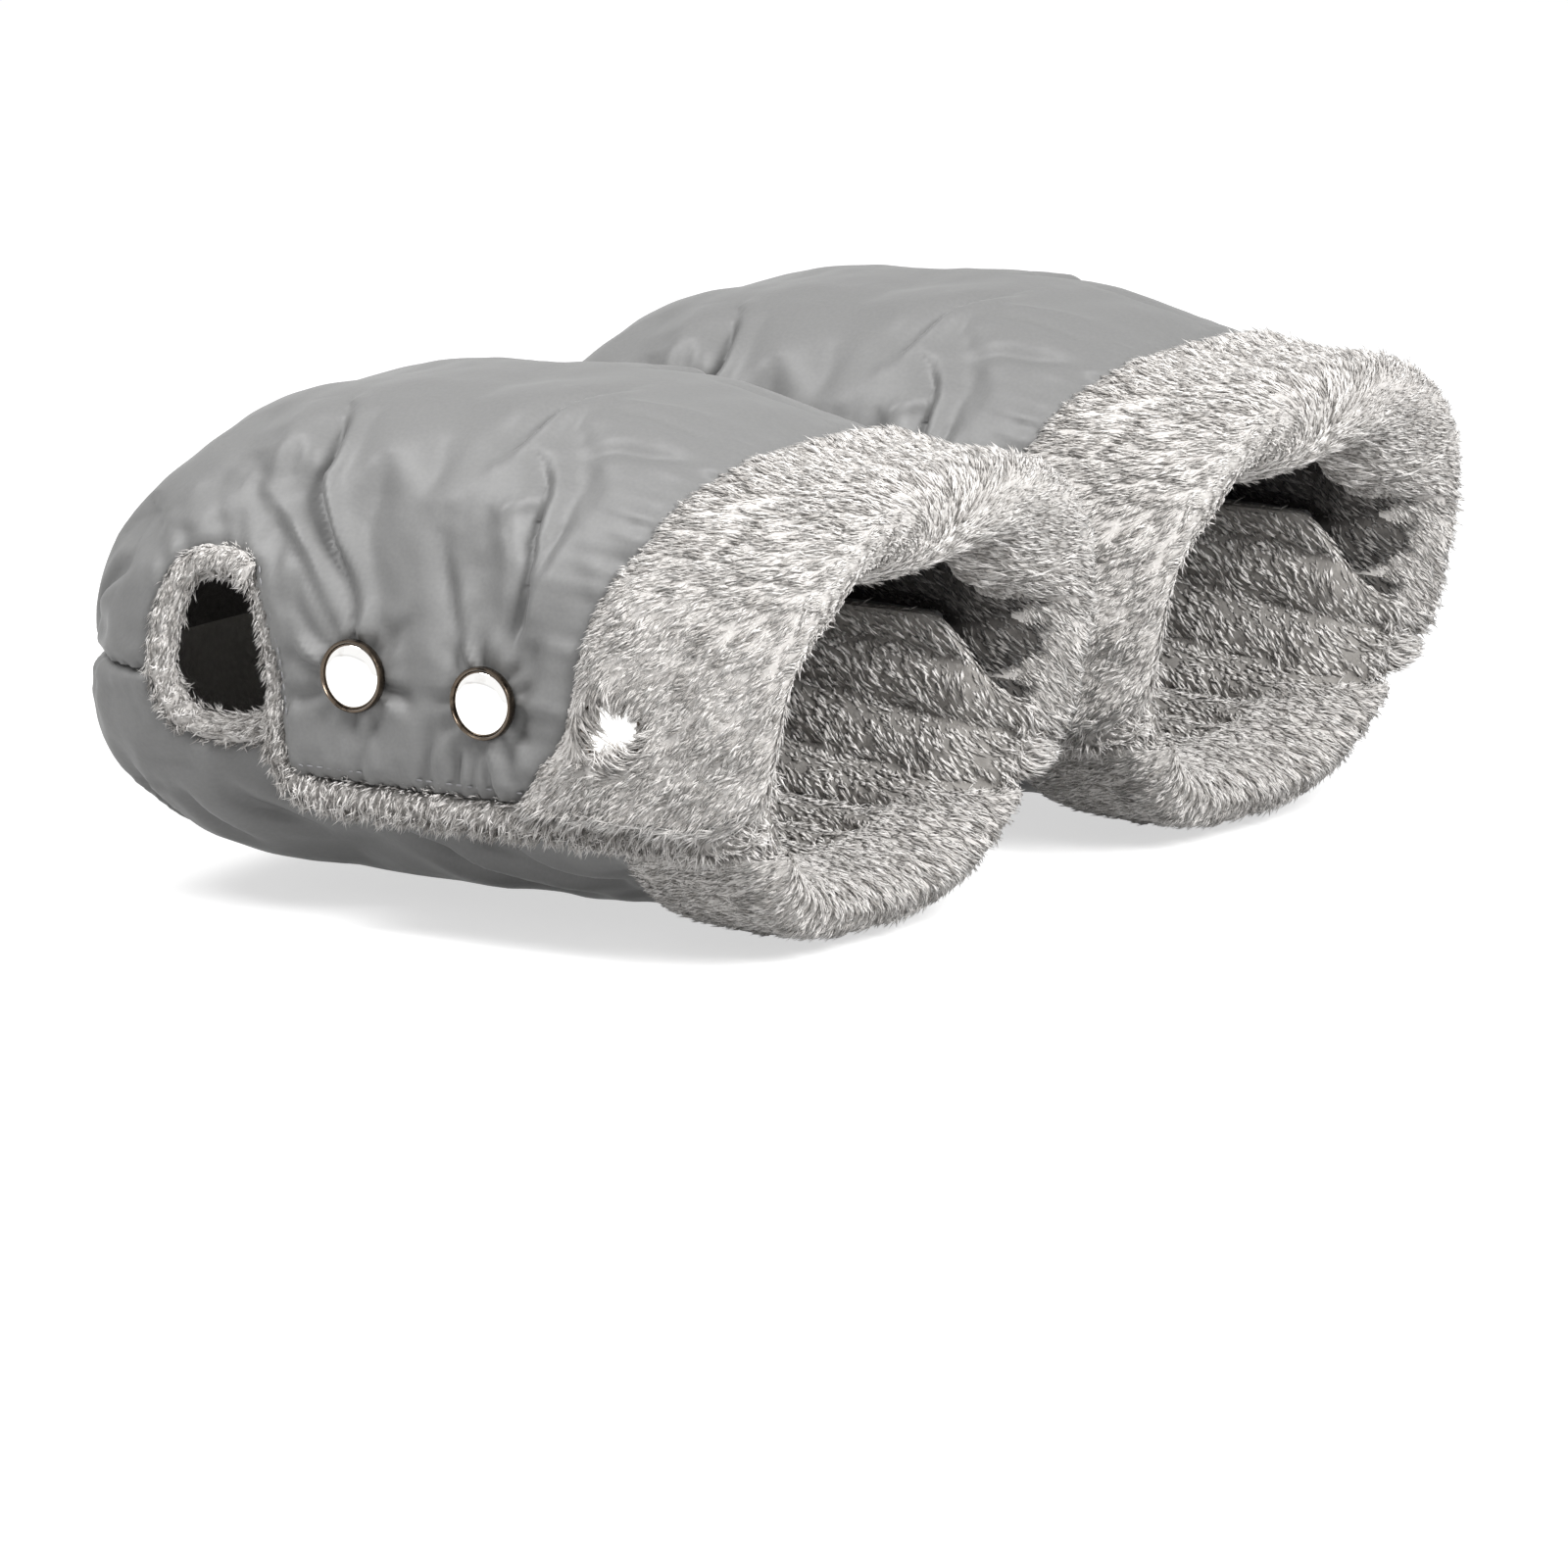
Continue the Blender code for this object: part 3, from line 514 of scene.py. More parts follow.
def lift_at(settled, stations, rows, side):
    """The settled lift, read between its own places."""
    lift, own_stations, own_rows = settled
    rows = rows if side == "near" else 4.0 - rows
    by_row = np.stack([np.interp(rows, own_rows, line) for line in lift])
    return np.stack([np.interp(stations, own_stations, line) for line in by_row.T], 1)


def near_snap(points, reach):
    close = np.zeros(points.shape[:-1], bool)
    for x, height in SNAPS:
        close |= np.hypot(points[..., 0] - x, points[..., 2] - height) < reach
    return close & (np.abs(points[..., 1]) > SIDE_FROM)


def on_flap(points, rows):
    """Which places of the upper panel are on the flap."""
    x, height = points[..., 0], points[..., 2]
    leans = np.interp(height, FLAP_FRONT_HEIGHTS, FLAP_FRONT_PLACES)
    return (rows < 1.0) & (x > np.where(height < FLAP_TOP, leans, FLAP_FRONT))


def on_crown(points, rows):
    """Which places are on the crown: above the shoulder, and round the nose to the slot's edge."""
    in_slot = inside_arch(points[..., 0], points[..., 2])
    return (rows > 1.0) | ((rows > 0.0) & ~on_flap(points, rows) & ~in_slot)


UPPER_SETTLED = settled_cloth(
    upper_point, FLAP_FOOT_ROW, UPPER_HEMS,
    lambda points, rows: on_crown(points, rows) | on_flap(points, rows),
    lambda points, along: (
        near_snap(points, SNAP_HELD_WITHIN) | (along > 0.150 - 0.2 * (0.075 - points[..., 2]))
    ),
)
UPPER_FOLD_GAIN = 1.3
WAVE_HEIGHT = 0.0008
FINE_WAVE_HEIGHT = 0.00020
LIFT_SHARE = 0.8
CUFF_GATHERS = 0.0008
HEM_GATHERS = 0.0005
CUFF_TUCK = 0.0016
NOSE_CALM = 0.040
MOST_PROUD = 0.0045
LEAST_PLATE = 0.0006
SNAP_PULL_SEED = {"near": 40, "far": 60}
QUILT_DEPTH = 0.0061
QUILT_STEP = 0.0015


def soft_relief(stations, rows, side, point, hems, folds, fold_gain, settled, seed):
    """A panel's smooth points, their distance to a hem and place on the cloth, and its relief."""
    base = grid_on(point, stations, rows)
    along, round_it = cloth_place(stations, rows, point, side)
    relief = fold_gain * fold_relief(along, round_it, folds)
    relief += WAVE_HEIGHT * ripple(along, round_it, 0.028, 0.070, seed)
    relief += FINE_WAVE_HEIGHT * ripple(along, round_it, 0.009, 0.020, seed + 1)
    relief += LIFT_SHARE * lift_at(settled, stations, rows, side)
    return base, distance_to(base, hems), along, round_it, relief


def upper_skin(stations, rows, side):
    """The outer face of the upper panel on one side, with its folds, and its place on the cloth."""
    base, away, along, round_it, relief = soft_relief(
        stations, rows, side, upper_point, UPPER_HEMS, UPPER_FOLDS, UPPER_FOLD_GAIN,
        UPPER_SETTLED, 3,
    )
    to_cuff = cuff_back(rows)[None, :] - along
    relief += CUFF_GATHERS * gathers(round_it, 5) * np.exp(-np.maximum(0.0, to_cuff) / 0.010)
    relief += HEM_GATHERS * gathers(along + 0.4 * round_it, 6) * np.exp(-away / 0.009)
    relief += snap_pull(base, SNAP_PULL_SEED[side])
    under_cuff = rise(-to_cuff, -0.005, 0.006)
    relief = relief * (1.0 - under_cuff) - CUFF_TUCK * under_cuff
    relief = relief * (1.0 - rise(-along, NOSE_CALM, NOSE_REACH))
    depth = np.clip(hem_depth(away) - relief, -MOST_PROUD, QUILT_DEPTH - LEAST_PLATE)
    face = grid_on(upper_point, stations, rows, depth)
    return face, as_vectors(along, round_it, np.zeros(along.shape))


def as_vectors(*grids):
    return np.stack([np.broadcast_to(grid, grids[0].shape) for grid in grids], -1)


def close_mesh(mesh, sharp=math.radians(58.0)):
    """Merges what falls together, points the faces outwards and shades them smooth."""
    bm = bmesh.new()
    bm.from_mesh(mesh)
    bmesh.ops.remove_doubles(bm, verts=bm.verts[:], dist=2e-6)
    bmesh.ops.dissolve_degenerate(bm, edges=bm.edges[:], dist=1e-7)
    bmesh.ops.recalc_face_normals(bm, faces=bm.faces[:])
    if bm.calc_volume(signed=True) < 0.0:
        bmesh.ops.reverse_faces(bm, faces=bm.faces[:])
    bm.to_mesh(mesh)
    bm.free()
    mesh.shade_smooth()
    mesh.set_sharp_from_angle(angle=sharp)


def keep_values(mesh, values):
    """Stores named values on a mesh's points: numbers, or vectors of three."""
    for label, flat in values.items():
        kind, field = ("FLOAT_VECTOR", "vector") if flat.ndim == 2 else ("FLOAT", "value")
        stored = mesh.attributes.new(label, kind, "POINT")
        stored.data.foreach_set(field, flat.astype(np.float32).ravel())


def shade_as_one(mesh, outer):
    """Shades a plate's outer face like the cloth that it was cut from, so that no cut shows."""
    across = np.cross(np.gradient(outer, axis=0), np.gradient(outer, axis=1))
    across /= np.maximum(np.linalg.norm(across, axis=2, keepdims=True), 1e-12)
    tree = KDTree(across[..., 0].size)
    for k, point in enumerate(outer.reshape(-1, 3)):
        tree.insert(point, k)
    tree.balance()
    across = across.reshape(-1, 3)
    at_point = np.zeros((len(mesh.vertices), 3))
    for vertex in mesh.vertices:
        _, k, gap = tree.find(vertex.co)
        if gap < 1e-5:
            at_point[vertex.index] = across[k]
    corners = np.empty(len(mesh.loops), np.int32)
    mesh.loops.foreach_get("vertex_index", corners)
    faces = np.empty(len(mesh.polygons) * 3, np.float32)
    mesh.polygons.foreach_get("normal", faces)
    counts = np.empty(len(mesh.polygons), np.int32)
    mesh.polygons.foreach_get("loop_total", counts)
    facing = np.repeat(faces.reshape(-1, 3), counts, axis=0)
    wanted = at_point[corners]
    lean = (wanted * facing).sum(1, keepdims=True)
    wanted = np.where(np.abs(lean) > 0.55, wanted * np.sign(lean), 0.0)
    mesh.normals_split_custom_set(wanted.tolist())


def panel_mesh(name, outer, inner, filled, values, as_one=False):
    """A closed plate between two grids over the filled cells. Values are pairs of grids."""
    columns, rows = outer.shape[:2]
    ids = np.arange(columns * rows).reshape(columns, rows)
    a, b, c, d = ids[:-1, :-1], ids[1:, :-1], ids[1:, 1:], ids[:-1, 1:]
    below = columns * rows
    faces = [np.stack([a, b, c, d], -1)[filled], np.stack([a, d, c, b], -1)[filled] + below]
    padded = np.pad(filled, 1)
    around = ((padded[1:-1, :-2], a, b), (padded[2:, 1:-1], b, c),
              (padded[1:-1, 2:], c, d), (padded[:-2, 1:-1], d, a))
    for neighbour, first, second in around:
        rim = filled & ~neighbour
        p, q = first[rim], second[rim]
        faces.append(np.stack([q, p, p + below, q + below], -1))
    points = np.concatenate([outer.reshape(-1, 3), inner.reshape(-1, 3)])
    used, index = np.unique(np.concatenate(faces), return_inverse=True)
    mesh = new_mesh(name, points[used], index.reshape(-1, 4).tolist())
    keep_values(mesh, {
        label: np.concatenate([grid.reshape(below, *grid.shape[2:]) for grid in pair])[used]
        for label, pair in values.items()
    })
    close_mesh(mesh)
    if as_one:
        shade_as_one(mesh, outer)
    return mesh


def muff_piece(name, mesh, middle, material):
    """An object of one muff from a mesh made about the muff's own middle."""
    own = mesh.copy()
    own.name = name
    co = np.empty(len(own.vertices) * 3, np.float32)
    own.vertices.foreach_get("co", co)
    co[1::3] += middle
    own.vertices.foreach_set("co", co)
    own.update()
    if material is not None:
        own.materials.clear()
        own.materials.append(material)
    return new_object(name, own)


def set_inputs(tree, node, inputs):
    """Sets a node's inputs: another node's output is linked, and anything else is the value."""
    for label, value in inputs.items():
        if isinstance(value, bpy.types.NodeSocket):
            tree.links.new(value, node.inputs[label])
        else:
            node.inputs[label].default_value = value


def add_node(tree, kind, inputs=None, **settings):
    node = tree.nodes.new(kind)
    for label, value in settings.items():
        setattr(node, label, value)
    set_inputs(tree, node, inputs or {})
    return node


def maths(tree, operation, first, second=0.0):
    """One step of arithmetic on two numbers or outputs."""
    inputs = {0: first, 1: second}
    return add_node(tree, "ShaderNodeMath", inputs, operation=operation).outputs[0]


def mixed(tree, share, first, second):
    """A colour between two others."""
    inputs = {"Factor": share, "A": first, "B": second}
    return add_node(tree, "ShaderNodeMix", inputs, data_type="RGBA").outputs["Result"]


def mapped(tree, value, **ends):
    """A value carried from one range to another. The ends not given stay 0 and 1."""
    inputs = {label.replace("_", " ").title(): end for label, end in ends.items()}
    return add_node(tree, "ShaderNodeMapRange", {"Value": value, **inputs}).outputs["Result"]


def noise(tree, place, scale, detail=2.0, distortion=0.0):
    inputs = {"Vector": place, "Scale": scale, "Detail": detail, "Distortion": distortion}
    return add_node(tree, "ShaderNodeTexNoise", inputs).outputs


def new_group(name, kind, inputs, outputs):
    """A node group with named sockets: the group, its inputs, its end and its sockets' own ids."""
    group = bpy.data.node_groups.new(name, kind)
    ids = {}
    for way, sockets in (("INPUT", inputs), ("OUTPUT", outputs)):
        for label, socket in sockets.items():
            item = group.interface.new_socket(
                name=label, in_out=way, socket_type=f"NodeSocket{socket}"
            )
            ids[label] = item.identifier
    return group, add_node(group, "NodeGroupInput").outputs, add_node(group, "NodeGroupOutput"), ids


def new_material(name):
    """A material, with its node tree and its shader."""
    material = bpy.data.materials.new(name)
    material.use_nodes = True
    return material, material.node_tree, material.node_tree.nodes["Principled BSDF"]


def weave_group():
    """A plain weave read from the cloth's own place in metres: its height and its thread tone."""
    group, given, end, _ = new_group(
        "Plain weave", "ShaderNodeTree",
        {"Thread pitch": "Float", "Unevenness": "Float", "Place": "Vector"},
        {"Height": "Float", "Tone": "Float"},
    )
    turns = maths(group, "DIVIDE", 2.0 * math.pi, given["Thread pitch"])
    scaled = add_node(
        group, "ShaderNodeVectorMath", {0: given["Place"], "Scale": turns}, operation="SCALE"
    )
    axes = add_node(group, "ShaderNodeSeparateXYZ", {0: scaled.outputs[0]}).outputs
    warp, weft = (maths(group, "SINE", axes[axis]) for axis in ("X", "Y"))
    uneven = noise(group, given["Place"], 900.0)["Fac"]
    set_inputs(group, end, {
        "Height": maths(group, "MULTIPLY", warp, weft),
        "Tone": maths(group, "MULTIPLY", uneven, given["Unevenness"]),
    })
    return group


WEAVE = weave_group()


def colour(red, green, blue):
    """A colour as the eye reads it, from 0 to 255, in the shader's own scale."""
    parts = []
    for value in (red, green, blue):
        share = value / 255.0
        parts.append(share / 12.92 if share <= 0.04045 else ((share + 0.055) / 1.055) ** 2.4)
    return (*parts, 1.0)


def satin_material():
    """Satin-faced woven shell: soft sheen, fine threads and small press creases."""
    material, tree, shader = new_material("Satin grey shell")
    place = add_node(tree, "ShaderNodeAttribute", attribute_name="cloth").outputs["Vector"]
    weave = add_node(
        tree, "ShaderNodeGroup", {"Place": place, "Thread pitch": 0.00042, "Unevenness": 1.0},
        node_tree=WEAVE,
    ).outputs
    creases = noise(tree, place, 75.0, 5.0, 0.6)["Fac"]
    press = add_node(
        tree, "ShaderNodeBump", {"Height": creases, "Strength": 0.30, "Distance": 0.0009}
    )
    threads = add_node(tree, "ShaderNodeBump", {
        "Height": weave["Height"], "Normal": press.outputs["Normal"], "Strength": 0.12,
        "Distance": 0.00006,
    })
    set_inputs(tree, shader, {
        "Base Color": mixed(tree, weave["Tone"], colour(106, 106, 106), colour(120, 120, 119)),
        "Roughness": mapped(tree, creases, to_min=0.47, to_max=0.60),
        "Normal": threads.outputs["Normal"], "Sheen Weight": 0.10, "Sheen Roughness": 0.35,
        "Specular IOR Level": 0.60,
    })
    return material


SATIN = satin_material()

upper_rows = spaced((FLAP_FOOT_ROW, 0.0, 17), (0.0, 1.0, 27), (1.0, 2.0, 62))
upper_stations = np.concatenate([
    nose_stations(QUILT_STEP), body_stations(-SLOT_HALF_LENGTH, FLAP_FRONT, QUILT_STEP)[:-1],
    body_stations(FLAP_FRONT, QUILT_END, QUILT_STEP),
])
upper_face, upper_cloth = {}, {}
for side in SIDES:
    upper_face[side], upper_cloth[side] = upper_skin(upper_stations, upper_rows, side)
upper_back = grid_on(upper_point, upper_stations, upper_rows, QUILT_DEPTH)


def hang(piece, muff, side):
    """A piece rides on its muff. A piece of a flap rides on nothing: its place is baked into its
    mesh.
    """
    if side is None:
        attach(piece, f"{muff}_muff")
        return
    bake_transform(piece)


def put_quilt(name, mesh, panel, side=None):
    """A quilt on both muffs, which stands for a panel's shell and its filling."""
    for muff, middle in MUFFS.items():
        piece = muff_piece(f"{muff}_{name}", mesh, middle, SATIN)
        hang(piece, muff, side)
        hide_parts(f"{muff}_{panel}_shell", f"{muff}_{panel}_padding")


cloth = joined(upper_cloth["near"], upper_cloth["far"], turned=False)
put_quilt("crown_quilt", panel_mesh(
    "crown quilt", joined(upper_face["near"], upper_face["far"]), joined(upper_back),
    both_sides(cells_of(upper_point, upper_stations, upper_rows, on_crown)),
    {"cloth": (cloth, cloth)}, as_one=True,
), "upper")

# THE FLAP QUILTS
# The two sides of the upper panel, of the same satin and filling. They hang from the shoulder,
# are hemmed at the front and foot, and snap over the wings of the lower panel.

flap_cells = cells_of(upper_point, upper_stations, upper_rows, on_flap)
for side, turned in SIDES.items():
    put_quilt(f"{side}_flap_quilt", panel_mesh(
        f"{side} flap quilt", upper_face[side] * turned, upper_back * turned, flap_cells,
        {"cloth": (upper_cloth[side],) * 2}, as_one=True,
    ), f"{side}_flap", side)

# THE LOWER QUILTS
# The lower panel, of the same satin and filling, joined to the upper one round the nose. Each side
# rises behind the flap as a wing that carries the snap studs.

BOTTOM_DEPTH = 0.056
SLOT_FOOT = 0.022
WING_INSET = 0.0115
WING_HEIGHT = 0.014
CUFF_FOOT = -0.0332
LOWER_CUFF_BACK = 0.145


def lower_point(station, row, depth):
    """Points of the lower panel's near side: rows to 1 fall to the cuff's foot, to 2 the bottom."""
    station, row, depth = as_grids(station, row, depth)
    x = station_x(station, depth)
    inset = WING_INSET * rise(x, -SLOT_HALF_LENGTH, SLOT_HALF_LENGTH)
    half_width = (HALF_WIDTH - inset - depth) * nose_share(x, depth, NOSE_PLAN_POWER)
    bottom = (BOTTOM_DEPTH - depth) * nose_share(x, depth, NOSE_PROFILE_POWER)
    rising = row * CUFF_FOOT
    top = top_height(x) - inset - depth
    wing_across = section_point(section_angle(rising, top), half_width, top)[0]
    least = np.minimum(1.0, SHOULDER_MOST_SHARE * bottom / -CUFF_FOOT)
    height = CUFF_FOOT * np.clip(row, 0.0, 1.0) * least
    low = section_angle(height, bottom)
    angle = low - (math.pi / 2.0 + low) * np.maximum(0.0, row - 1.0)
    across, up = section_point(angle, half_width, bottom)
    outer_bottom = BOTTOM_DEPTH * nose_share(x, 0.0, NOSE_PROFILE_POWER)
    face = np.where(row < 0.0, rising, -face_height(np.maximum(row, 0.0), outer_bottom, -CUFF_FOOT))
    above = row < 0.0
    return np.stack(
        [leaned(x, face), -np.where(above, wing_across, across), np.where(above, rising, up)], -1
    )


LOWER_FOLDS = (
    (((42, -58), (60, -46), (84, -36), (112, -30)), 3.0, 2.4, 3.4, 1.4, 0.6),
    (((-30, -66), (-24, -54), (-14, -40)), 2.4, 2.2, 2.0, 0.8, 0.8),
    (((-14, -70), (-8, -58), (0, -46)), 2.2, 1.8, 1.8, 0.8, 0.6),
    (((0, -72), (8, -60), (20, -48)), 2.4, 1.8, 1.8, 0.7, 0.8),
    (((12, -74), (20, -64), (32, -56)), 2.0, 1.6, 1.6, 0.6, 0.6),
    (((90, -54), (108, -44), (130, -38)), 2.2, 2.0, 2.4, 0.8, 0.5),
    (((70, -58), (82, -52), (96, -48)), 1.6, 1.6, 1.8, 0.5, 0.4),
    (((10, -20), (34, -6), (60, 4)), 1.6, 5.0, 4.0, 0.6, 0.6),
    (((70, 10), (92, 22), (116, 30)), 1.8, 4.0, 3.6, 0.6, 0.6),
    (((40, 54), (62, 44), (90, 34)), 2.6, 3.0, 2.4, 0.9, 1.0),
    (((-26, 60), (-14, 48), (2, 38)), 2.2, 2.2, 2.2, 0.8, 0.8),
    (((4, 72), (12, 60), (24, 50)), 2.2, 1.8, 1.8, 0.7, 0.7),
)
wing_row = WING_HEIGHT / CUFF_FOOT
slot_row = -SLOT_FOOT / CUFF_FOOT
LOWER_HEMS = np.concatenate([
    nose_seam, laid_on(SLOT_ARCH[SLOT_ARCH[:, 1] < 0.0], lower_point, CUFF_FOOT),
    lower_point(2 * SLOT_HALF_LENGTH, np.linspace(wing_row, slot_row, 24), 0.0),
    lower_point(body_stations(SLOT_HALF_LENGTH, QUILT_END, 0.002), wing_row, 0.0),
])


def lower_is_cloth(points, rows):
    x, height = points[..., 0], points[..., 2]
    before = (x < SLOT_HALF_LENGTH) & (rows > 0.0) & ~inside_arch(x, height)
    return before | (x > SLOT_HALF_LENGTH)


LOWER_SETTLED = settled_cloth(
    lower_point, wing_row, LOWER_HEMS, lower_is_cloth,
    lambda points, along: (along > 0.148) | ((points[..., 2] > -0.026) & (along > 0.0)),
)


LOWER_FOLD_GAIN = 1.5
LOWER_STEP = 0.0020
LOWER_HEM_GATHERS = 0.0006
LOWER_CUFF_GATHERS = 0.0007
LOWER_MOST_PROUD = 0.0040


def lower_skin(stations, rows, side):
    """The outer face of the lower panel on one side, with its folds, and its place on the cloth."""
    base, away, along, round_it, relief = soft_relief(
        stations, rows, side, lower_point, LOWER_HEMS, LOWER_FOLDS, LOWER_FOLD_GAIN,
        LOWER_SETTLED, 13,
    )
    relief += LOWER_HEM_GATHERS * gathers(along - 0.3 * round_it, 15) * np.exp(-away / 0.010)
    to_cuff = LOWER_CUFF_BACK - along
    from_cuff = np.exp(-np.maximum(0.0, to_cuff) / 0.014)
    relief += LOWER_CUFF_GATHERS * gathers(round_it, 16) * from_cuff
    behind_flap = rise(base[..., 2], -0.030, -0.024) * rise(along, 0.004, 0.018)
    relief = relief * (1.0 - behind_flap) * (1.0 - rise(-along, NOSE_CALM, NOSE_REACH))
    under_cuff = rise(-to_cuff, -0.006, 0.008)
    relief = relief * (1.0 - under_cuff) - CUFF_TUCK * under_cuff
    depth = np.clip(hem_depth(away) - relief, -LOWER_MOST_PROUD, QUILT_DEPTH - LEAST_PLATE)
    face = grid_on(lower_point, stations, rows, depth)
    return face, as_vectors(along, round_it + 0.3, np.zeros(along.shape))


lower_stations = np.concatenate([
    nose_stations(LOWER_STEP), body_stations(-SLOT_HALF_LENGTH, QUILT_END, LOWER_STEP)
])
lower_rows = spaced((wing_row, 0.0, 9), (0.0, slot_row, 14), (slot_row, 1.0, 7), (1.0, 2.0, 38))
near_face, near_cloth = lower_skin(lower_stations, lower_rows, "near")
far_face, far_cloth = lower_skin(lower_stations, lower_rows, "far")
cloth = joined(near_cloth, far_cloth, turned=False)
put_quilt("lower_quilt", panel_mesh(
    "lower quilt", joined(near_face, far_face),
    joined(grid_on(lower_point, lower_stations, lower_rows, QUILT_DEPTH)),
    both_sides(cells_of(lower_point, lower_stations, lower_rows, lower_is_cloth)),
    {"cloth": (cloth, cloth)},
), "lower")

# THE PLUSH CUFFS
# The plush lining turned out over the shell and rolled round the mouth: a thick soft roll of long
# pile. The pile lies back from the mouth's rim and falls down the sides, in uneven tufts.

CUFF_FRONT = 0.198
CUFF_THICKNESS = 0.0045
CUFF_ROLL_TOP = 0.027
CUFF_ROLL_SHOULDER = 0.0100
CUFF_ROLL_SIDE = 0.0125
CORNER_DROP = 0.014
LOWER_CUFF_THICKNESS = 0.0060
LOWER_CUFF_ROLL = 0.0110
ROLL_CLEARANCE = 0.0012
CUFF_LUMPS = 0.0005
CAP_HOLLOW = 0.0082
CAP_MIDDLE = np.array([SNAPS[2][0] + 0.0015, SNAPS[2][1]])
CAP_FUR_PLACE = 0.0085
CAP_FUR_SPREAD = 0.0036
CAP_FUR_LEAN = 3.0
CAP_LONG_FUR = np.array([-0.58, 0.81])
CAP_BARE = (0.0056, 0.0066)
FOOT_FUR_LONGER = 0.55
UNDER_LINING = (0.25, 0.45)
RIM_SHOWS = (0.181, 0.187)


def cuff_section(back, front, outward, inward):
    """The roll's section as (place along the muff, depth), from its back edge to the inside."""
    length = front - back
    roll = front - SHELL_END
    return smooth_line((
        (back, 0.0010),
        (back + 0.03 * length, -0.35 * outward),
        (back + 0.20 * length, -0.80 * outward),
        (front - 0.60 * roll, -outward),
        (front - 0.18 * roll, -0.80 * outward),
        (front - 0.01 * roll, 0.04 * inward),
        (front - 0.03 * roll, 0.30 * inward),
        (front - 0.22 * roll, 0.66 * inward),
        (front - 0.55 * roll, 0.92 * inward),
        (SHELL_END + ROLL_CLEARANCE, inward),
        (SHELL_END + ROLL_CLEARANCE, 0.0010),
    ), 6)


def upper_inward(row):
    """How far in the roll reaches: over the wing at the side, less above it, most at the top."""
    climb = np.sin(math.pi / 2.0 * np.maximum(0.0, row - 1.0)) ** 0.6
    side = CUFF_ROLL_SIDE + (CUFF_ROLL_SHOULDER - CUFF_ROLL_SIDE) * rise(row, 0.20, 0.75)
    return side + (CUFF_ROLL_TOP - CUFF_ROLL_SHOULDER) * climb


def corner_drop(row):
    """How much lower the roll's inside lies than its outside, at the mouth's round corners."""
    width = np.where(row < 1.0, 0.45, 0.16)
    return CORNER_DROP * np.exp(-(((row - 1.0) / width) ** 2))


def cuff_grid(point, rows, backs, fronts, outward, inwards, drops, hollow, seed):
    """The roll set up on each row, with its outward face's combing and how long its pile is."""
    sections = np.stack([
        cuff_section(back, front, outward, inward)
        for back, front, inward in zip(backs, fronts, inwards)
    ])
    station = sections[..., 0] + SLOT_HALF_LENGTH
    depth = sections[..., 1]
    flat = point(station, rows[:, None], depth)
    away = np.hypot(flat[..., 0] - SNAPS[2][0], flat[..., 2] - SNAPS[2][1])
    outside = depth < 0.0
    dent = np.exp(-((away / CAP_HOLLOW) ** 6)) * outside if hollow else np.zeros(depth.shape)
    depth = depth * (1.0 - dent) + 0.0006 * dent
    lumps = CUFF_LUMPS * ripple(station, rows[:, None] * 0.06, 0.012, 0.034, seed)
    step = np.linspace(0.0, 1.0, sections.shape[1])
    ends = np.sin(math.pi * step**0.8)[None, :]
    depth = depth - lumps * ends * (1.0 - 0.5 * rise(depth, 0.0, 0.006))
    points = point(station, rows[:, None], depth)
    points[..., 2] -= drops[:, None] * np.clip(depth / inwards[:, None], 0.0, 1.0)
    along = -np.gradient(points, axis=1)
    along /= np.maximum(np.linalg.norm(along, axis=2, keepdims=True), 1e-9)
    step = np.arange(len(step)) / (len(step) - 1.0)
    share = np.clip((0.92 - step) / 0.06, 0.0, 1.0) * (0.50 + 0.50 * rise(step, 0.02, 0.16))
    share = np.broadcast_to(share, depth.shape)
    if hollow:
        along, share = fur_round_cap(flat, away, outside, along, share)
        hanging = 1.0 - rise(rows - rows[0], 0.0, 0.30)
        share = share * (1.0 + FOOT_FUR_LONGER * hanging[:, None])
        under = rise(depth / inwards[:, None], *UNDER_LINING)
        under = under * (1.0 - 0.8 * rise(rows, 0.75, 1.0)[:, None])
        under = under * (1.0 - rise(station - SLOT_HALF_LENGTH, *RIM_SHOWS))
        share = share * (1.0 - under)
    return points, along, share


def fur_round_cap(flat, away, outside, along, share):
    """The combing and the pile round the third cap, leaning in over it, with none on it."""
    offset = (flat[..., [0, 2]] - CAP_MIDDLE) / np.maximum(away, 1e-6)[..., None]
    near_cap = np.maximum(0.0, away - CAP_FUR_PLACE) / CAP_FUR_SPREAD
    round_cap = np.exp(-(near_cap**2)) * outside
    towards = np.stack([-offset[..., 0], np.zeros(away.shape), -offset[..., 1]], -1)
    lean = round_cap[..., None]
    along = along * (1.0 - 0.75 * lean) + CAP_FUR_LEAN * lean * towards
    share = share * (1.0 + (0.25 + 1.25 * np.abs(offset @ CAP_LONG_FUR)) * round_cap)
    return along, share * rise(away, *CAP_BARE)


def comb_down(along, fall):
    """The way that the pile lies: along the cloth, and down where the cloth hangs."""
    comb = along - np.array([0.0, 0.0, fall])
    return comb / np.maximum(np.linalg.norm(comb, axis=-1, keepdims=True), 1e-9)


def tube_mesh(name, loops, values):
    """A closed skin through a row of like loops of points, with its values on each point."""
    rows, count = loops.shape[:2]
    ids = np.arange(rows * count).reshape(rows, count)
    after = np.roll(ids, -1, axis=1)
    faces = np.stack([ids[:-1], ids[1:], after[1:], after[:-1]], -1).reshape(-1, 4).tolist()
    faces += [ids[0].tolist(), ids[-1, ::-1].tolist()]
    mesh = new_mesh(name, loops.reshape(-1, 3), faces)
    keep_values(mesh, {
        label: grid.reshape(rows * count, *grid.shape[2:]) for label, grid in values.items()
    })
    close_mesh(mesh)
    return mesh


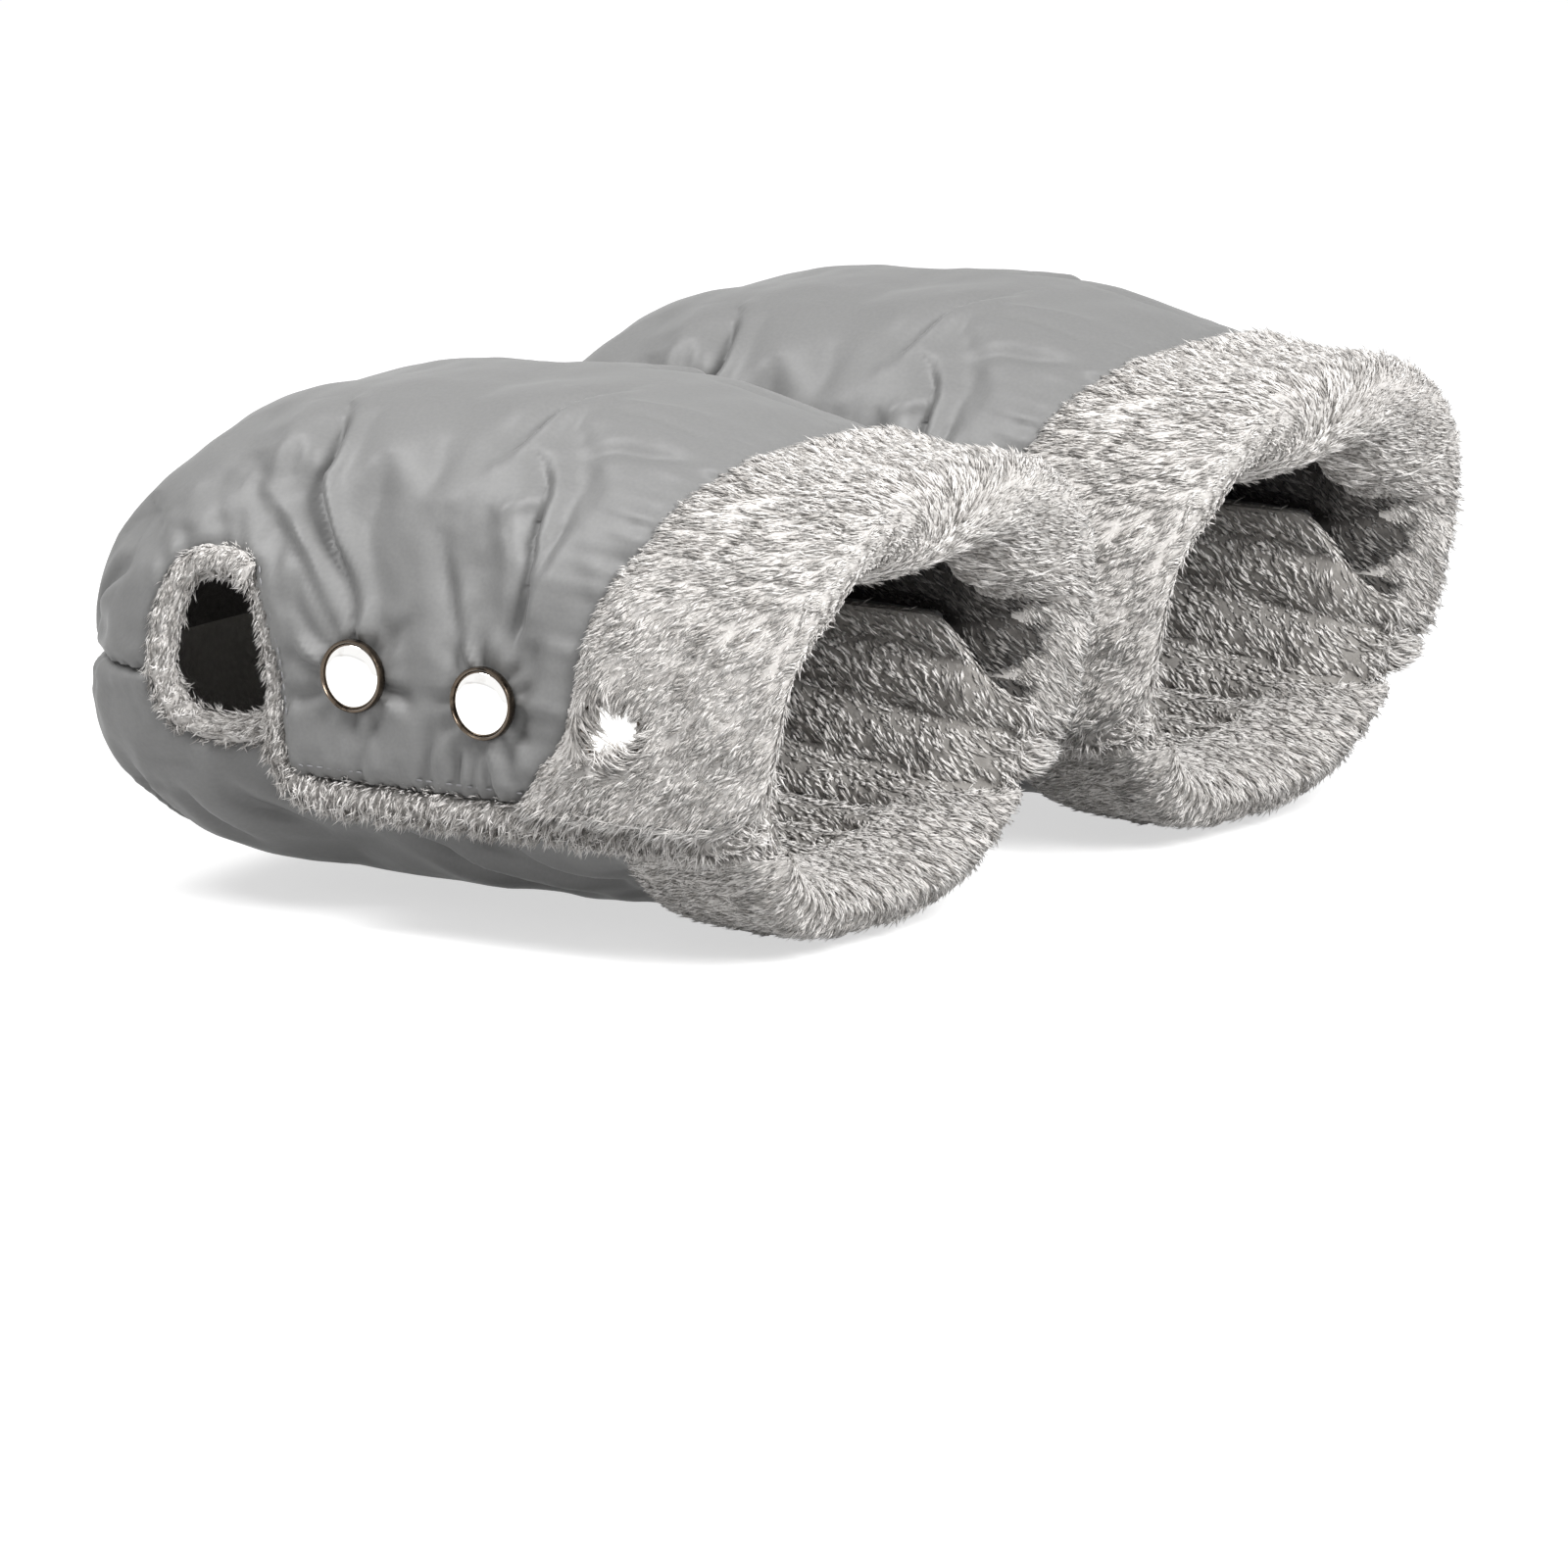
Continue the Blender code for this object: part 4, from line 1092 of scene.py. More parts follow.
def pile_colour_group():
    """The pile's colour from its root to its tip, between a pale and a dark colour by its tone."""
    group, given, end, _ = new_group(
        "Pile colour", "ShaderNodeTree",
        {"Pale": "Color", "Dark": "Color", "Tip": "Float", "Tone": "Float"}, {"Colour": "Color"},
    )
    root = mapped(group, given["Tip"], from_max=0.7, to_min=0.25)
    tone = mapped(group, given["Tone"], from_min=-0.10, from_max=0.75)
    share = maths(group, "MULTIPLY", root, tone)
    set_inputs(group, end, {"Colour": mixed(group, share, given["Dark"], given["Pale"])})
    return group


PILE_COLOUR = pile_colour_group()


def pile_material(name, pale, dark):
    """Soft matt fibres, pale at their tips and darker at the roots."""
    material, tree, shader = new_material(name)
    tip, tone = (
        add_node(tree, "ShaderNodeAttribute", attribute_name=label).outputs["Fac"]
        for label in ("tip", "tone")
    )
    tint = add_node(
        tree, "ShaderNodeGroup",
        {"Pale": colour(*pale), "Dark": colour(*dark), "Tip": tip, "Tone": tone},
        node_tree=PILE_COLOUR,
    )
    set_inputs(tree, shader, {
        "Base Color": tint.outputs["Colour"], "Roughness": 0.82, "Sheen Weight": 0.25,
        "Sheen Roughness": 0.5, "Specular IOR Level": 0.25,
    })
    return material


def object_noise(tree, scale, detail=2.0):
    place = add_node(tree, "ShaderNodeTexCoord").outputs["Object"]
    return noise(tree, place, scale, detail)["Fac"]


def backing_material(name, dark, pale):
    """The dense short wool under the long pile."""
    material, tree, shader = new_material(name)
    wool = object_noise(tree, 420.0, 6.0)
    bump = add_node(tree, "ShaderNodeBump", {"Height": wool, "Strength": 0.8, "Distance": 0.0008})
    set_inputs(tree, shader, {
        "Base Color": mixed(tree, wool, colour(*dark), colour(*pale)), "Roughness": 0.95,
        "Normal": bump.outputs["Normal"], "Sheen Weight": 0.2, "Specular IOR Level": 0.1,
    })
    return material


PILE = pile_material("Warm grey pile", (242, 239, 236), (156, 152, 148))
BACKING = backing_material("Grey underwool", (178, 174, 170), (228, 225, 222))


def tuft_object():
    """One tuft of pile, 1 long and 1 wide: a three-sided spindle that bends over to its tip."""
    points = [(0.0, 0.0, 0.0)]
    for k in range(3):
        turn = 2.0 * math.pi * k / 3.0 + math.pi / 2.0
        points.append((0.5 * math.cos(turn), -0.05 + 0.05 * math.sin(turn), 0.40))
    points.append((0.0, -0.34, 0.94))
    faces = []
    for k in range(3):
        this, after = 1 + k, 1 + (k + 1) % 3
        faces += [(0, after, this), (this, after, 4)]
    mesh = new_mesh("tuft", points, faces)
    keep_values(mesh, {"tip": np.array([p[2] for p in points])})
    mesh.shade_smooth()
    return bpy.data.objects.new("tuft", mesh)


def pile_tree():
    """Tufts set over a skin: they lie the way it is combed, draw together in locks and vary."""
    numbers = (
        "Tufts per area", "Length", "Width", "Stand", "Lock size", "Gathering", "Swirl", "Strays"
    )
    sockets = {
        "Skin": "Geometry", "Tuft": "Object", **dict.fromkeys(numbers, "Float"),
        "Finish": "Material", "Seed": "Int",
    }
    tree, given, end, ids = new_group(
        "Plush pile", "GeometryNodeTree", sockets, {"Pile": "Geometry"}
    )
    tree.is_modifier = True

    def vector(operation, first, second):
        inputs = {0: first, "Scale" if operation == "SCALE" else 1: second}
        return add_node(tree, "ShaderNodeVectorMath", inputs, operation=operation).outputs

    def stored(kind, label):
        inputs = {"Name": label}
        node = add_node(tree, "GeometryNodeInputNamedAttribute", inputs, data_type=kind)
        return node.outputs["Attribute"]

    def chance(kind, inputs):
        return add_node(tree, "FunctionNodeRandomValue", inputs, data_type=kind).outputs

    share, comb = stored("FLOAT", "pile"), stored("FLOAT_VECTOR", "comb")
    grows = maths(tree, "GREATER_THAN", share, 0.05)
    scatter = add_node(tree, "GeometryNodeDistributePointsOnFaces", {
        "Mesh": given["Skin"], "Seed": given["Seed"],
        "Density": maths(tree, "MULTIPLY", grows, given["Tufts per area"]),
    }).outputs
    out = scatter["Normal"]
    position = add_node(tree, "GeometryNodeInputPosition").outputs[0]
    lock = add_node(tree, "ShaderNodeTexVoronoi", {
        "Vector": position, "Scale": maths(tree, "DIVIDE", 1.0, given["Lock size"])
    }).outputs
    to_lock = vector("SUBTRACT", lock["Position"], position)[0]
    gathered = vector("SCALE", to_lock, given["Gathering"])[0]
    drift = noise(tree, position, 95.0, 1.0)["Color"]
    swirl = vector("SCALE", vector("SUBTRACT", drift, (0.5, 0.5, 0.5))[0], given["Swirl"])[0]
    stray = chance("FLOAT_VECTOR", {0: (-1.0,) * 3, 1: (1.0,) * 3, "Seed": given["Seed"]})[0]
    inward = vector("SCALE", out, vector("DOT_PRODUCT", comb, out)["Value"])[0]
    lie = vector("SUBTRACT", comb, inward)[0]
    standing = vector("SCALE", out, given["Stand"])[0]
    for push in (standing, swirl, vector("SCALE", stray, given["Strays"])[0]):
        lie = vector("ADD", lie, push)[0]
    reach = vector("ADD", vector("SCALE", lie, given["Length"])[0], gathered)[0]
    turn = add_node(
        tree, "FunctionNodeAxesToRotation", {0: reach, 1: out}, primary_axis="Z",
        secondary_axis="Y",
    )
    size = chance("FLOAT", {2: 0.66, 3: 1.12, "Seed": given["Seed"]})[1]
    length = maths(tree, "MULTIPLY", maths(tree, "MULTIPLY", size, given["Length"]), share)
    width = maths(tree, "MULTIPLY", size, given["Width"])
    scale = add_node(tree, "ShaderNodeCombineXYZ", {"X": width, "Y": length, "Z": length})
    lock_tone = add_node(tree, "ShaderNodeSeparateXYZ", {0: lock["Color"]}).outputs["X"]
    toned = add_node(tree, "GeometryNodeStoreNamedAttribute", {
        "Geometry": scatter["Points"], "Name": "tone",
        "Value": maths(tree, "ADD", lock_tone, chance("FLOAT", {2: -0.26, 3: 0.26})[1]),
    }, data_type="FLOAT", domain="POINT")
    tuft = add_node(tree, "GeometryNodeObjectInfo", {"Object": given["Tuft"]})
    place = add_node(tree, "GeometryNodeInstanceOnPoints", {
        "Points": toned.outputs["Geometry"], "Instance": tuft.outputs["Geometry"],
        "Rotation": turn.outputs[0], "Scale": scale.outputs[0],
    })
    return finished(tree, given, end, place, "Pile"), ids


def finished(tree, given, end, place, result):
    """Ends a tree: its instances made real, with the finish that it was given."""
    real = add_node(tree, "GeometryNodeRealizeInstances", {0: place.outputs["Instances"]})
    inputs = {"Geometry": real.outputs[0], "Material": given["Finish"]}
    dressed = add_node(tree, "GeometryNodeSetMaterial", inputs)
    set_inputs(tree, end, {result: dressed.outputs[0]})
    return tree


PILE_TREE, PILE_INPUTS = pile_tree()
TUFT = tuft_object()


def apply_tree(skin, tree, ids, values):
    """The plain mesh that a tree makes from a mesh, with values on the tree's named inputs."""
    holder = new_object("holder", skin)
    modifier = holder.modifiers.new("made", "NODES")
    modifier.node_group = tree
    for label, value in values.items():
        modifier[ids[label]] = value
    bpy.context.view_layer.update()
    graph = bpy.context.evaluated_depsgraph_get()
    made = bpy.data.meshes.new_from_object(holder.evaluated_get(graph))
    bpy.data.objects.remove(holder)
    return made


def grow_pile(skin, seed, tufts=1.52e6, width=0.00066, length=0.0046, stand=0.36, finish=PILE):
    """A plain mesh of tufts over a skin mesh, which says how they are combed and how long."""
    mesh = apply_tree(skin, PILE_TREE, PILE_INPUTS, {
        "Tuft": TUFT, "Finish": finish, "Tufts per area": tufts, "Length": length, "Width": width,
        "Stand": stand, "Lock size": 0.0028, "Gathering": 0.80, "Swirl": 0.75, "Strays": 0.18,
        "Seed": seed,
    })
    for label in ("comb", "pile", "cloth"):
        if mesh.attributes.get(label):
            mesh.attributes.remove(mesh.attributes[label])
    return mesh


def put_plush(name, skin, pile, solid=None, side=None, body=None, finishes=(BACKING, PILE)):
    """A plush piece of both muffs: a skin with its pile, which stands for a solid."""
    for muff, middle in MUFFS.items():
        base = muff_piece(f"{muff}_{name}", skin, middle, finishes[0])
        fur = muff_piece(f"{muff}_{name.removesuffix('_roll')}_pile", pile, middle, finishes[1])
        for piece in (base, fur):
            if body:
                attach(piece, f"{muff}_{body}")
            else:
                hang(piece, muff, side)
        if solid:
            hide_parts(f"{muff}_{solid}")


def mirrored_over(grid, flip=FAR):
    return np.concatenate([grid, grid[-2::-1] * flip])


def put_cuff(name, grids, fall, seed, solid, side=None, **settings):
    """A cuff's roll, combed back and so far down, with its pile, on both muffs."""
    loops, along, share = grids
    mesh = tube_mesh(name, loops, {"comb": comb_down(along, fall), "pile": share})
    pile = grow_pile(mesh, seed, **settings)
    put_plush(name, mesh, pile, solid, side)


def over_middle(grids):
    """A cuff's loops, combing and pile carried on over the middle."""
    loops, along, share = grids
    return mirrored_over(loops), mirrored_over(along), mirrored_over(share, 1.0)


top_rows = np.linspace(1.0, 2.0, 30)
fronts = np.full(len(top_rows), CUFF_FRONT)
put_cuff("crown_cuff", over_middle(cuff_grid(
    upper_point, top_rows, cuff_back(top_rows), fronts, CUFF_THICKNESS, upper_inward(top_rows),
    corner_drop(top_rows), False, 21,
)), 0.55, 3, "upper_cuff")

side_rows = np.linspace(FLAP_FOOT_ROW, 1.0, 28)
side_fronts = CUFF_FRONT - np.interp(
    side_rows * SHOULDER_HEIGHT, (-0.0231, -0.0205, -0.0170, -0.0110), (0.0110, 0.0055, 0.0015, 0.0)
)
loops, along, share = cuff_grid(
    upper_point, side_rows, cuff_back(side_rows), side_fronts, CUFF_THICKNESS,
    upper_inward(side_rows), corner_drop(side_rows), True, 22,
)
for seed, (side, turned) in enumerate(SIDES.items(), start=5):
    grids = (loops * turned, along * turned, share)
    put_cuff(f"{side}_flap_cuff_roll", grids, 0.95, seed, f"{side}_flap_cuff", side)

backs, inwards, drops = (
    np.full(len(top_rows), value) for value in (LOWER_CUFF_BACK, LOWER_CUFF_ROLL, 0.0)
)
put_cuff("foot_cuff", over_middle(cuff_grid(
    lower_point, top_rows, backs, fronts, LOWER_CUFF_THICKNESS, inwards, drops, False, 23
)), 0.35, 7, "lower_cuff", tufts=1.4e6)

# THE PLUSH LININGS
# The warm inside of each muff: the same plush sewn inside the filling, gathered into soft ridges
# that run out to the mouth. It shows through the mouth and the slots in the sides.

LINING_OUTER = 0.0064
LINING_INNER = 0.0094
LINING_END = 0.172
MOUTH_LINING_END = 0.192
LINING_STEP = 0.0034
OVER_ROLL = (0.155, 0.170)
AT_RIM = (0.174, MOUTH_LINING_END)
INNER_PILE_FROM = (0.080, 0.100)
SLOT_PILE_TO = (0.028, 0.038)
CREASE = (-0.40, 0.0)
ROLL_SPARE = 0.0045
FLAP_RIM_RISE = 0.0060
FOOT_RIM_RISE = 0.0075
RIDGE_PITCH = 0.0165
RIDGE_HEIGHT = 0.0042
WING_EDGE_FALL = 0.024
# The inner pile and the underwools below are darker than the cuffs' plush as painted shade of the
# hollow inside; the real lining is the same plush.
INNER_PILE_PAINTED_SHADE = pile_material("Inner pile with painted shade", (140, 137, 134), (56, 54, 52))
LINING_UNDERWOOL_PAINTED_SHADE = backing_material("Lining underwool with painted shade", (126, 122, 118), (170, 167, 163))
INNER_UNDERWOOL_PAINTED_SHADE = backing_material("Inner underwool with painted shade", (62, 60, 58), (98, 95, 92))


def ridges(along, round_it):
    """Soft gathered ridges that fall towards the mouth, with sharp creases between them."""
    place = (round_it - 0.25 * (along - 0.170)) / RIDGE_PITCH + 0.25 * np.sin(along / 0.024)
    return (np.abs(np.sin(math.pi * place)) ** 0.7 - 0.45) * rise(along, 0.045, 0.100)


def lining_parts(point, stations, rows, over_roll=0.0, at_rim=0.0):
    """The outer and inner faces of a lining on the near side, with its combing and pile."""
    along, round_it = cloth_place(stations, rows, point)
    x = stations[:, None] - SLOT_HALF_LENGTH
    shift = over_roll * rise(x, *OVER_ROLL) - at_rim * rise(x, *AT_RIM)
    ridge = ridges(along, round_it)
    depth = LINING_INNER + RIDGE_HEIGHT * ridge + shift
    outer = grid_on(point, stations, rows, LINING_OUTER + shift)
    inner = grid_on(point, stations, rows, depth)
    lie = np.gradient(inner, axis=0)
    lie /= np.maximum(np.linalg.norm(lie, axis=2, keepdims=True), 1e-9)
    at_slot = 1.0 - rise(np.abs(along), *SLOT_PILE_TO)
    share = np.maximum(rise(along, *INNER_PILE_FROM), at_slot)
    return outer, inner, comb_down(lie, 0.7), share * (0.35 + 0.65 * rise(ridge, *CREASE))


def put_lining(name, faces, comb, cells, shares, solid, side=None, dark=True, **settings):
    """A lining with its pile on both muffs. The shares say how long its pile is on each face. Its
    darker finishes are painted shade.
    """
    mesh = panel_mesh(name, *faces, cells, {"comb": (comb, comb), "pile": shares})
    # dark: pile and underwool with the deepest painted shade, for the crown and flap linings; else
    # the pale pile over an underwool with lighter painted shade.
    finishes = (INNER_UNDERWOOL_PAINTED_SHADE, INNER_PILE_PAINTED_SHADE) if dark else (LINING_UNDERWOOL_PAINTED_SHADE, PILE)
    pile = grow_pile(mesh, finish=finishes[1], **settings)
    put_plush(name, mesh, pile, solid, side, finishes=finishes)


lining_stations = np.concatenate([
    nose_stations(0.004), body_stations(-SLOT_HALF_LENGTH, LINING_END, LINING_STEP)
])
rows = spaced((0.0, 1.0, 12), (1.0, 2.0, 32))
outer, inner, comb, share = lining_parts(upper_point, lining_stations, rows)
cells = both_sides(cells_of(upper_point, lining_stations, rows, on_crown))
share = joined(share, turned=False)
put_lining(
    "crown_lining", (joined(outer), joined(inner)), joined(comb), cells, (0.0 * share, share),
    "upper_lining", seed=9, tufts=0.28e6, width=0.0012,
)

side_stations = body_stations(FLAP_FRONT, MOUTH_LINING_END - 0.003, LINING_STEP)
side_rows = np.linspace(FLAP_FOOT_ROW, 1.0, 22)
outer, inner, comb, share = lining_parts(
    upper_point, side_stations, side_rows, ROLL_SPARE, FLAP_RIM_RISE
)
cells = np.ones((len(side_stations) - 1, len(side_rows) - 1), bool)
for seed, (side, turned) in enumerate(SIDES.items(), start=11):
    put_lining(
        f"{side}_flap_plush", (outer * turned, inner * turned), comb * turned, cells,
        (0.0 * share, share), f"{side}_flap_lining", side, seed=seed, tufts=0.55e6, width=0.0011,
    )

rows = spaced((wing_row, 0.0, 6), (0.0, slot_row, 8), (slot_row, 1.0, 5), (1.0, 2.0, 26))
foot_stations = np.concatenate([
    lining_stations, body_stations(LINING_END, MOUTH_LINING_END, LINING_STEP)[1:]
])


def falling_wing(station, row, depth):
    """The lower panel's points, where the wing's top edge falls towards the mouth."""
    fall = WING_EDGE_FALL * rise(station - SLOT_HALF_LENGTH, 0.157, MOUTH_LINING_END)
    above = np.clip((0.7 - row) / (0.7 - wing_row), 0.0, 1.0)
    return lower_point(station, row + above * fall / -CUFF_FOOT, depth)


outer, inner, comb, share = lining_parts(falling_wing, foot_stations, rows, 0.0, FOOT_RIM_RISE)
rim = rise(foot_stations[:, None] - SLOT_HALF_LENGTH, 0.158, 0.162) * (rows[None, :] < 1.02)
cells = both_sides(cells_of(
    lower_point, foot_stations, rows,
    lambda points, at: lower_is_cloth(points, at) & ((points[..., 0] < LINING_END) | (at < 1.0)),
))
# The foot lining keeps the pale pile, over an underwool darkened as painted shade in its creases
# and the hollow.
put_lining(
    "foot_lining", (joined(outer), joined(inner)), joined(comb), cells,
    (joined(rim, turned=False), joined(share, turned=False)), "lower_lining", dark=False, seed=14,
    tufts=0.64e6, width=0.0010,
)

# THE PLUSH STRIPS AND SLOT EDGES
# A narrow plush strip is sewn down each flap's front edge and along its foot, and a finer one
# edges the slot in each side, so that no raw edge rubs.

FLAP_THICKNESS = 0.0095
STRIP_HEIGHT = -0.0280
STRIP_RADIUS = 0.0039
STRIP_RADIUS_AT_TOP = 0.0024
EDGE_RADIUS = 0.0038
EDGE_INSET = 0.0026
STRIP_END = 0.161
STRIP_PILE = {"length": 0.0054, "stand": 0.80, "tufts": 1.35e6}
EDGE_PILE = {"length": 0.0036, "stand": 0.60, "tufts": 1.4e6}
ROLL_SIDES = 12
ROLL_TURNS = 2.0 * math.pi * np.arange(ROLL_SIDES) / ROLL_SIDES


def side_reach(x, height):
    """How far out the cloth's face lies at a place beside the slot."""
    station = x + SLOT_HALF_LENGTH
    upper = -upper_point(station, height / SHOULDER_HEIGHT, 0.0)[..., 1]
    lower = -lower_point(station, height / CUFF_FOOT, 0.0)[..., 1]
    return np.where(height >= 0.0, upper, lower)


def roll_round(line, radius, depth_at, side, seed):
    """A soft round roll along a line on the cloth, given as (x, height)."""
    lie = np.gradient(line, axis=0)
    lie /= np.linalg.norm(lie, axis=1, keepdims=True)
    start = np.random.default_rng(seed).uniform(0.0, 2.0, len(line))
    fat = radius * (1.0 + 0.08 * np.sin(np.arange(len(line)) * 0.9 + start))
    out = depth_at[:, None] + fat[:, None] * np.cos(ROLL_TURNS)[None, :]
    across = fat[:, None] * np.sin(ROLL_TURNS)[None, :]
    x = line[:, :1] - across * lie[:, 1:]
    z = line[:, 1:] + across * lie[:, :1]
    return np.stack([x, side * out, z], -1)


def put_roll(name, loops, comb, share, seed, grown, solid=None, body=None):
    """A plush roll of one side on both muffs."""
    comb = np.broadcast_to(comb, loops.shape)
    mesh = tube_mesh(name, loops, {"comb": comb, "pile": share})
    put_plush(name, mesh, grow_pile(mesh, seed, **grown), solid, body=body)


strip_line = np.concatenate([
    smooth_line((
        (0.0132, 0.0308), (0.0163, 0.0266), (0.0194, 0.0203), (0.0224, 0.0105), (0.0243, 0.0012),
        (0.0253, -0.0095), (0.0264, -0.0175), (0.0296, -0.0240), (0.0355, -0.0273),
        (0.0430, STRIP_HEIGHT),
    ), 6),
    np.stack([np.linspace(0.0450, STRIP_END, 56), np.full(56, STRIP_HEIGHT)], 1),
    smooth_line(((0.1640, -0.0278), (0.1690, -0.0268), (0.1740, -0.0246), (0.1775, -0.0215)), 5),
])
at_foot = rise(-strip_line[:, 1], -0.0020, 0.0200)
strip_radius = STRIP_RADIUS_AT_TOP + (STRIP_RADIUS - STRIP_RADIUS_AT_TOP) * at_foot
strip_radius[-4:] *= (0.95, 0.85, 0.68, 0.40)
strip_reach = -laid_on(strip_line, upper_point, SHOULDER_HEIGHT)[:, 1] - FLAP_THICKNESS / 2.0
to_middle = np.array([0.004, 0.008]) - SLOT_ARCH
to_middle /= np.linalg.norm(to_middle, axis=1, keepdims=True)
edge_line = SLOT_ARCH + EDGE_INSET * to_middle
edge_reach = side_reach(edge_line[:, 0], edge_line[:, 1]) - 0.0030
edge_radius = np.full(len(edge_line), EDGE_RADIUS)
shows = np.cos(ROLL_TURNS) > -0.6
near_tip = rise(strip_line[:, 0], 0.163, 0.175)[:, None]
strip_share = (0.62 + 0.38 * at_foot[:, None]) * np.maximum(shows, near_tip > 0.0)
edge_share = np.ones(len(edge_line))[:, None] * shows
for side, sign in (("near", -1.0), ("far", 1.0)):
    flap = f"{side}_flap"
    comb = np.array([0.10, 0.5 * sign, -0.40]) + near_tip[..., None] * np.array([0.9, 0.0, 0.3])
    loops = roll_round(strip_line, strip_radius, strip_reach, sign, 31)
    put_roll(f"{flap}_strip_roll", loops, comb, strip_share, 16, STRIP_PILE, f"{flap}_strip", flap)
    comb = as_vectors(
        0.35 * to_middle[:, :1] - 0.3, np.full((len(to_middle), 1), 0.4 * sign),
        0.35 * to_middle[:, 1:] - 0.5,
    )
    loops = roll_round(edge_line, edge_radius, edge_reach, sign, 32)
    put_roll(f"{side}_slot_edge", loops, comb, edge_share, 18, EDGE_PILE)

# THE SNAPS
# Pressed snap fasteners of plated metal: a polished cap with a turned rim on the flap, whose
# socket grips a stud on the wing behind. Three of them hold each flap closed.

CAP_RADIUS = 0.010
CAP_SEGMENTS = 56
CAP_SHARP = math.radians(35.0)
SHANK_RADIUS = 0.0046
SOCKET_RADIUS = 0.0032
SOCKET_DEPTH = 0.0036


def metal_material(name, pale, dark, roughness):
    """Plated metal with fine uneven polish and patches of grime. The rim's dark finish is painted
    dark reflection.
    """
    material, tree, shader = new_material(name)
    wear = object_noise(tree, 260.0, 4.0)
    grime = mapped(tree, wear, from_min=0.30, from_max=0.45)
    set_inputs(tree, shader, {
        "Base Color": mixed(tree, grime, colour(*dark), colour(*pale)), "Metallic": 1.0,
        "Roughness": mapped(tree, wear, to_min=roughness * 0.7, to_max=roughness * 1.4),
    })
    return material


POLISHED = metal_material("Polished nickel", (252, 251, 249), (240, 238, 235), 0.05)
# The rim's dark colour is painted dark reflection of the surroundings on its polished metal.
RIM_PAINTED_DARK = metal_material("Nickel rim with painted dark reflection", (92, 82, 72), (48, 42, 36), 0.24)


def turned_mesh(name, profile, finishes, x, height, side):
    """A turned solid out of a flap's face, by (radius, distance out), with a finish a ring."""
    turns = [2.0 * math.pi * k / CAP_SEGMENTS for k in range(CAP_SEGMENTS)]
    bm = bmesh.new()
    rings = [[
        bm.verts.new((x + radius * math.cos(a), side * out, height + radius * math.sin(a)))
        for a in (turns if radius else turns[:1])
    ] for radius, out in profile]
    for this, following, finish in zip(rings, rings[1:], finishes):
        for k in range(CAP_SEGMENTS):
            after = (k + 1) % CAP_SEGMENTS
            corners = (this[k % len(this)], this[after % len(this)],
                       following[after % len(following)], following[k % len(following)])
            bm.faces.new(list(dict.fromkeys(corners))).material_index = finish
    mesh = bpy.data.meshes.new(name)
    bm.to_mesh(mesh)
    bm.free()
    for finish in (POLISHED, RIM_PAINTED_DARK):
        mesh.materials.append(finish)
    close_mesh(mesh, CAP_SHARP)
    return mesh


seat = HALF_WIDTH + 0.0003
inner_face = HALF_WIDTH - FLAP_THICKNESS
cap_profile = (
    (0.0, seat + 0.0029), (0.0040, seat + 0.00285), (0.0068, seat + 0.0027),
    (0.0081, seat + 0.0024), (0.0087, seat + 0.0018), (0.0089, seat + 0.0016),
    (0.0090, seat + 0.0022), (0.0093, seat + 0.0026), (0.0097, seat + 0.0025),
    (CAP_RADIUS, seat + 0.0019), (CAP_RADIUS, seat + 0.0005), (0.0096, seat - 0.0004),
    (SHANK_RADIUS, seat - 0.0004), (SHANK_RADIUS, inner_face), (SOCKET_RADIUS, inner_face),
    (SOCKET_RADIUS, inner_face + SOCKET_DEPTH), (0.0, inner_face + SOCKET_DEPTH),
)
# The rim's faces take the finish with painted dark reflection.
cap_finishes = [0] * 4 + [1] * 8 + [0] * 4
for side, sign in (("near", -1.0), ("far", 1.0)):
    for number, (x, height) in enumerate(SNAPS, start=1):
        mesh = turned_mesh(f"{side} cap {number}", cap_profile, cap_finishes, x, height, sign)
        for muff, middle in MUFFS.items():
            body = f"{muff}_{side}_flap"
            piece = muff_piece(f"{body}_snap_{number}", mesh, middle, None)
            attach(piece, body)
            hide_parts(f"{body}_cap_{number}")
            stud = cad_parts[f"{muff}_{side}_stud_{number}"].data
            stud.materials.clear()
            stud.materials.append(POLISHED)

# THE HEM STITCHES
# A row of small lockstitches in matching thread, a little in from each flap's front edge and foot,
# holds the shell, the filling and the strip together.

STITCH_LENGTH = 0.0022
STITCH_PITCH = 0.0032
STITCH_RADIUS = 0.00028
STITCH_INSET = 0.0031
STITCH_FOOT = -0.020
STITCH_END = 0.120


def thread_material():
    material, tree, shader = new_material("Grey thread")
    twist = object_noise(tree, 3000.0)
    tint = mixed(tree, twist, colour(112, 112, 115), colour(150, 150, 152))
    set_inputs(tree, shader, {"Base Color": tint, "Roughness": 0.6})
    return material


THREAD = thread_material()


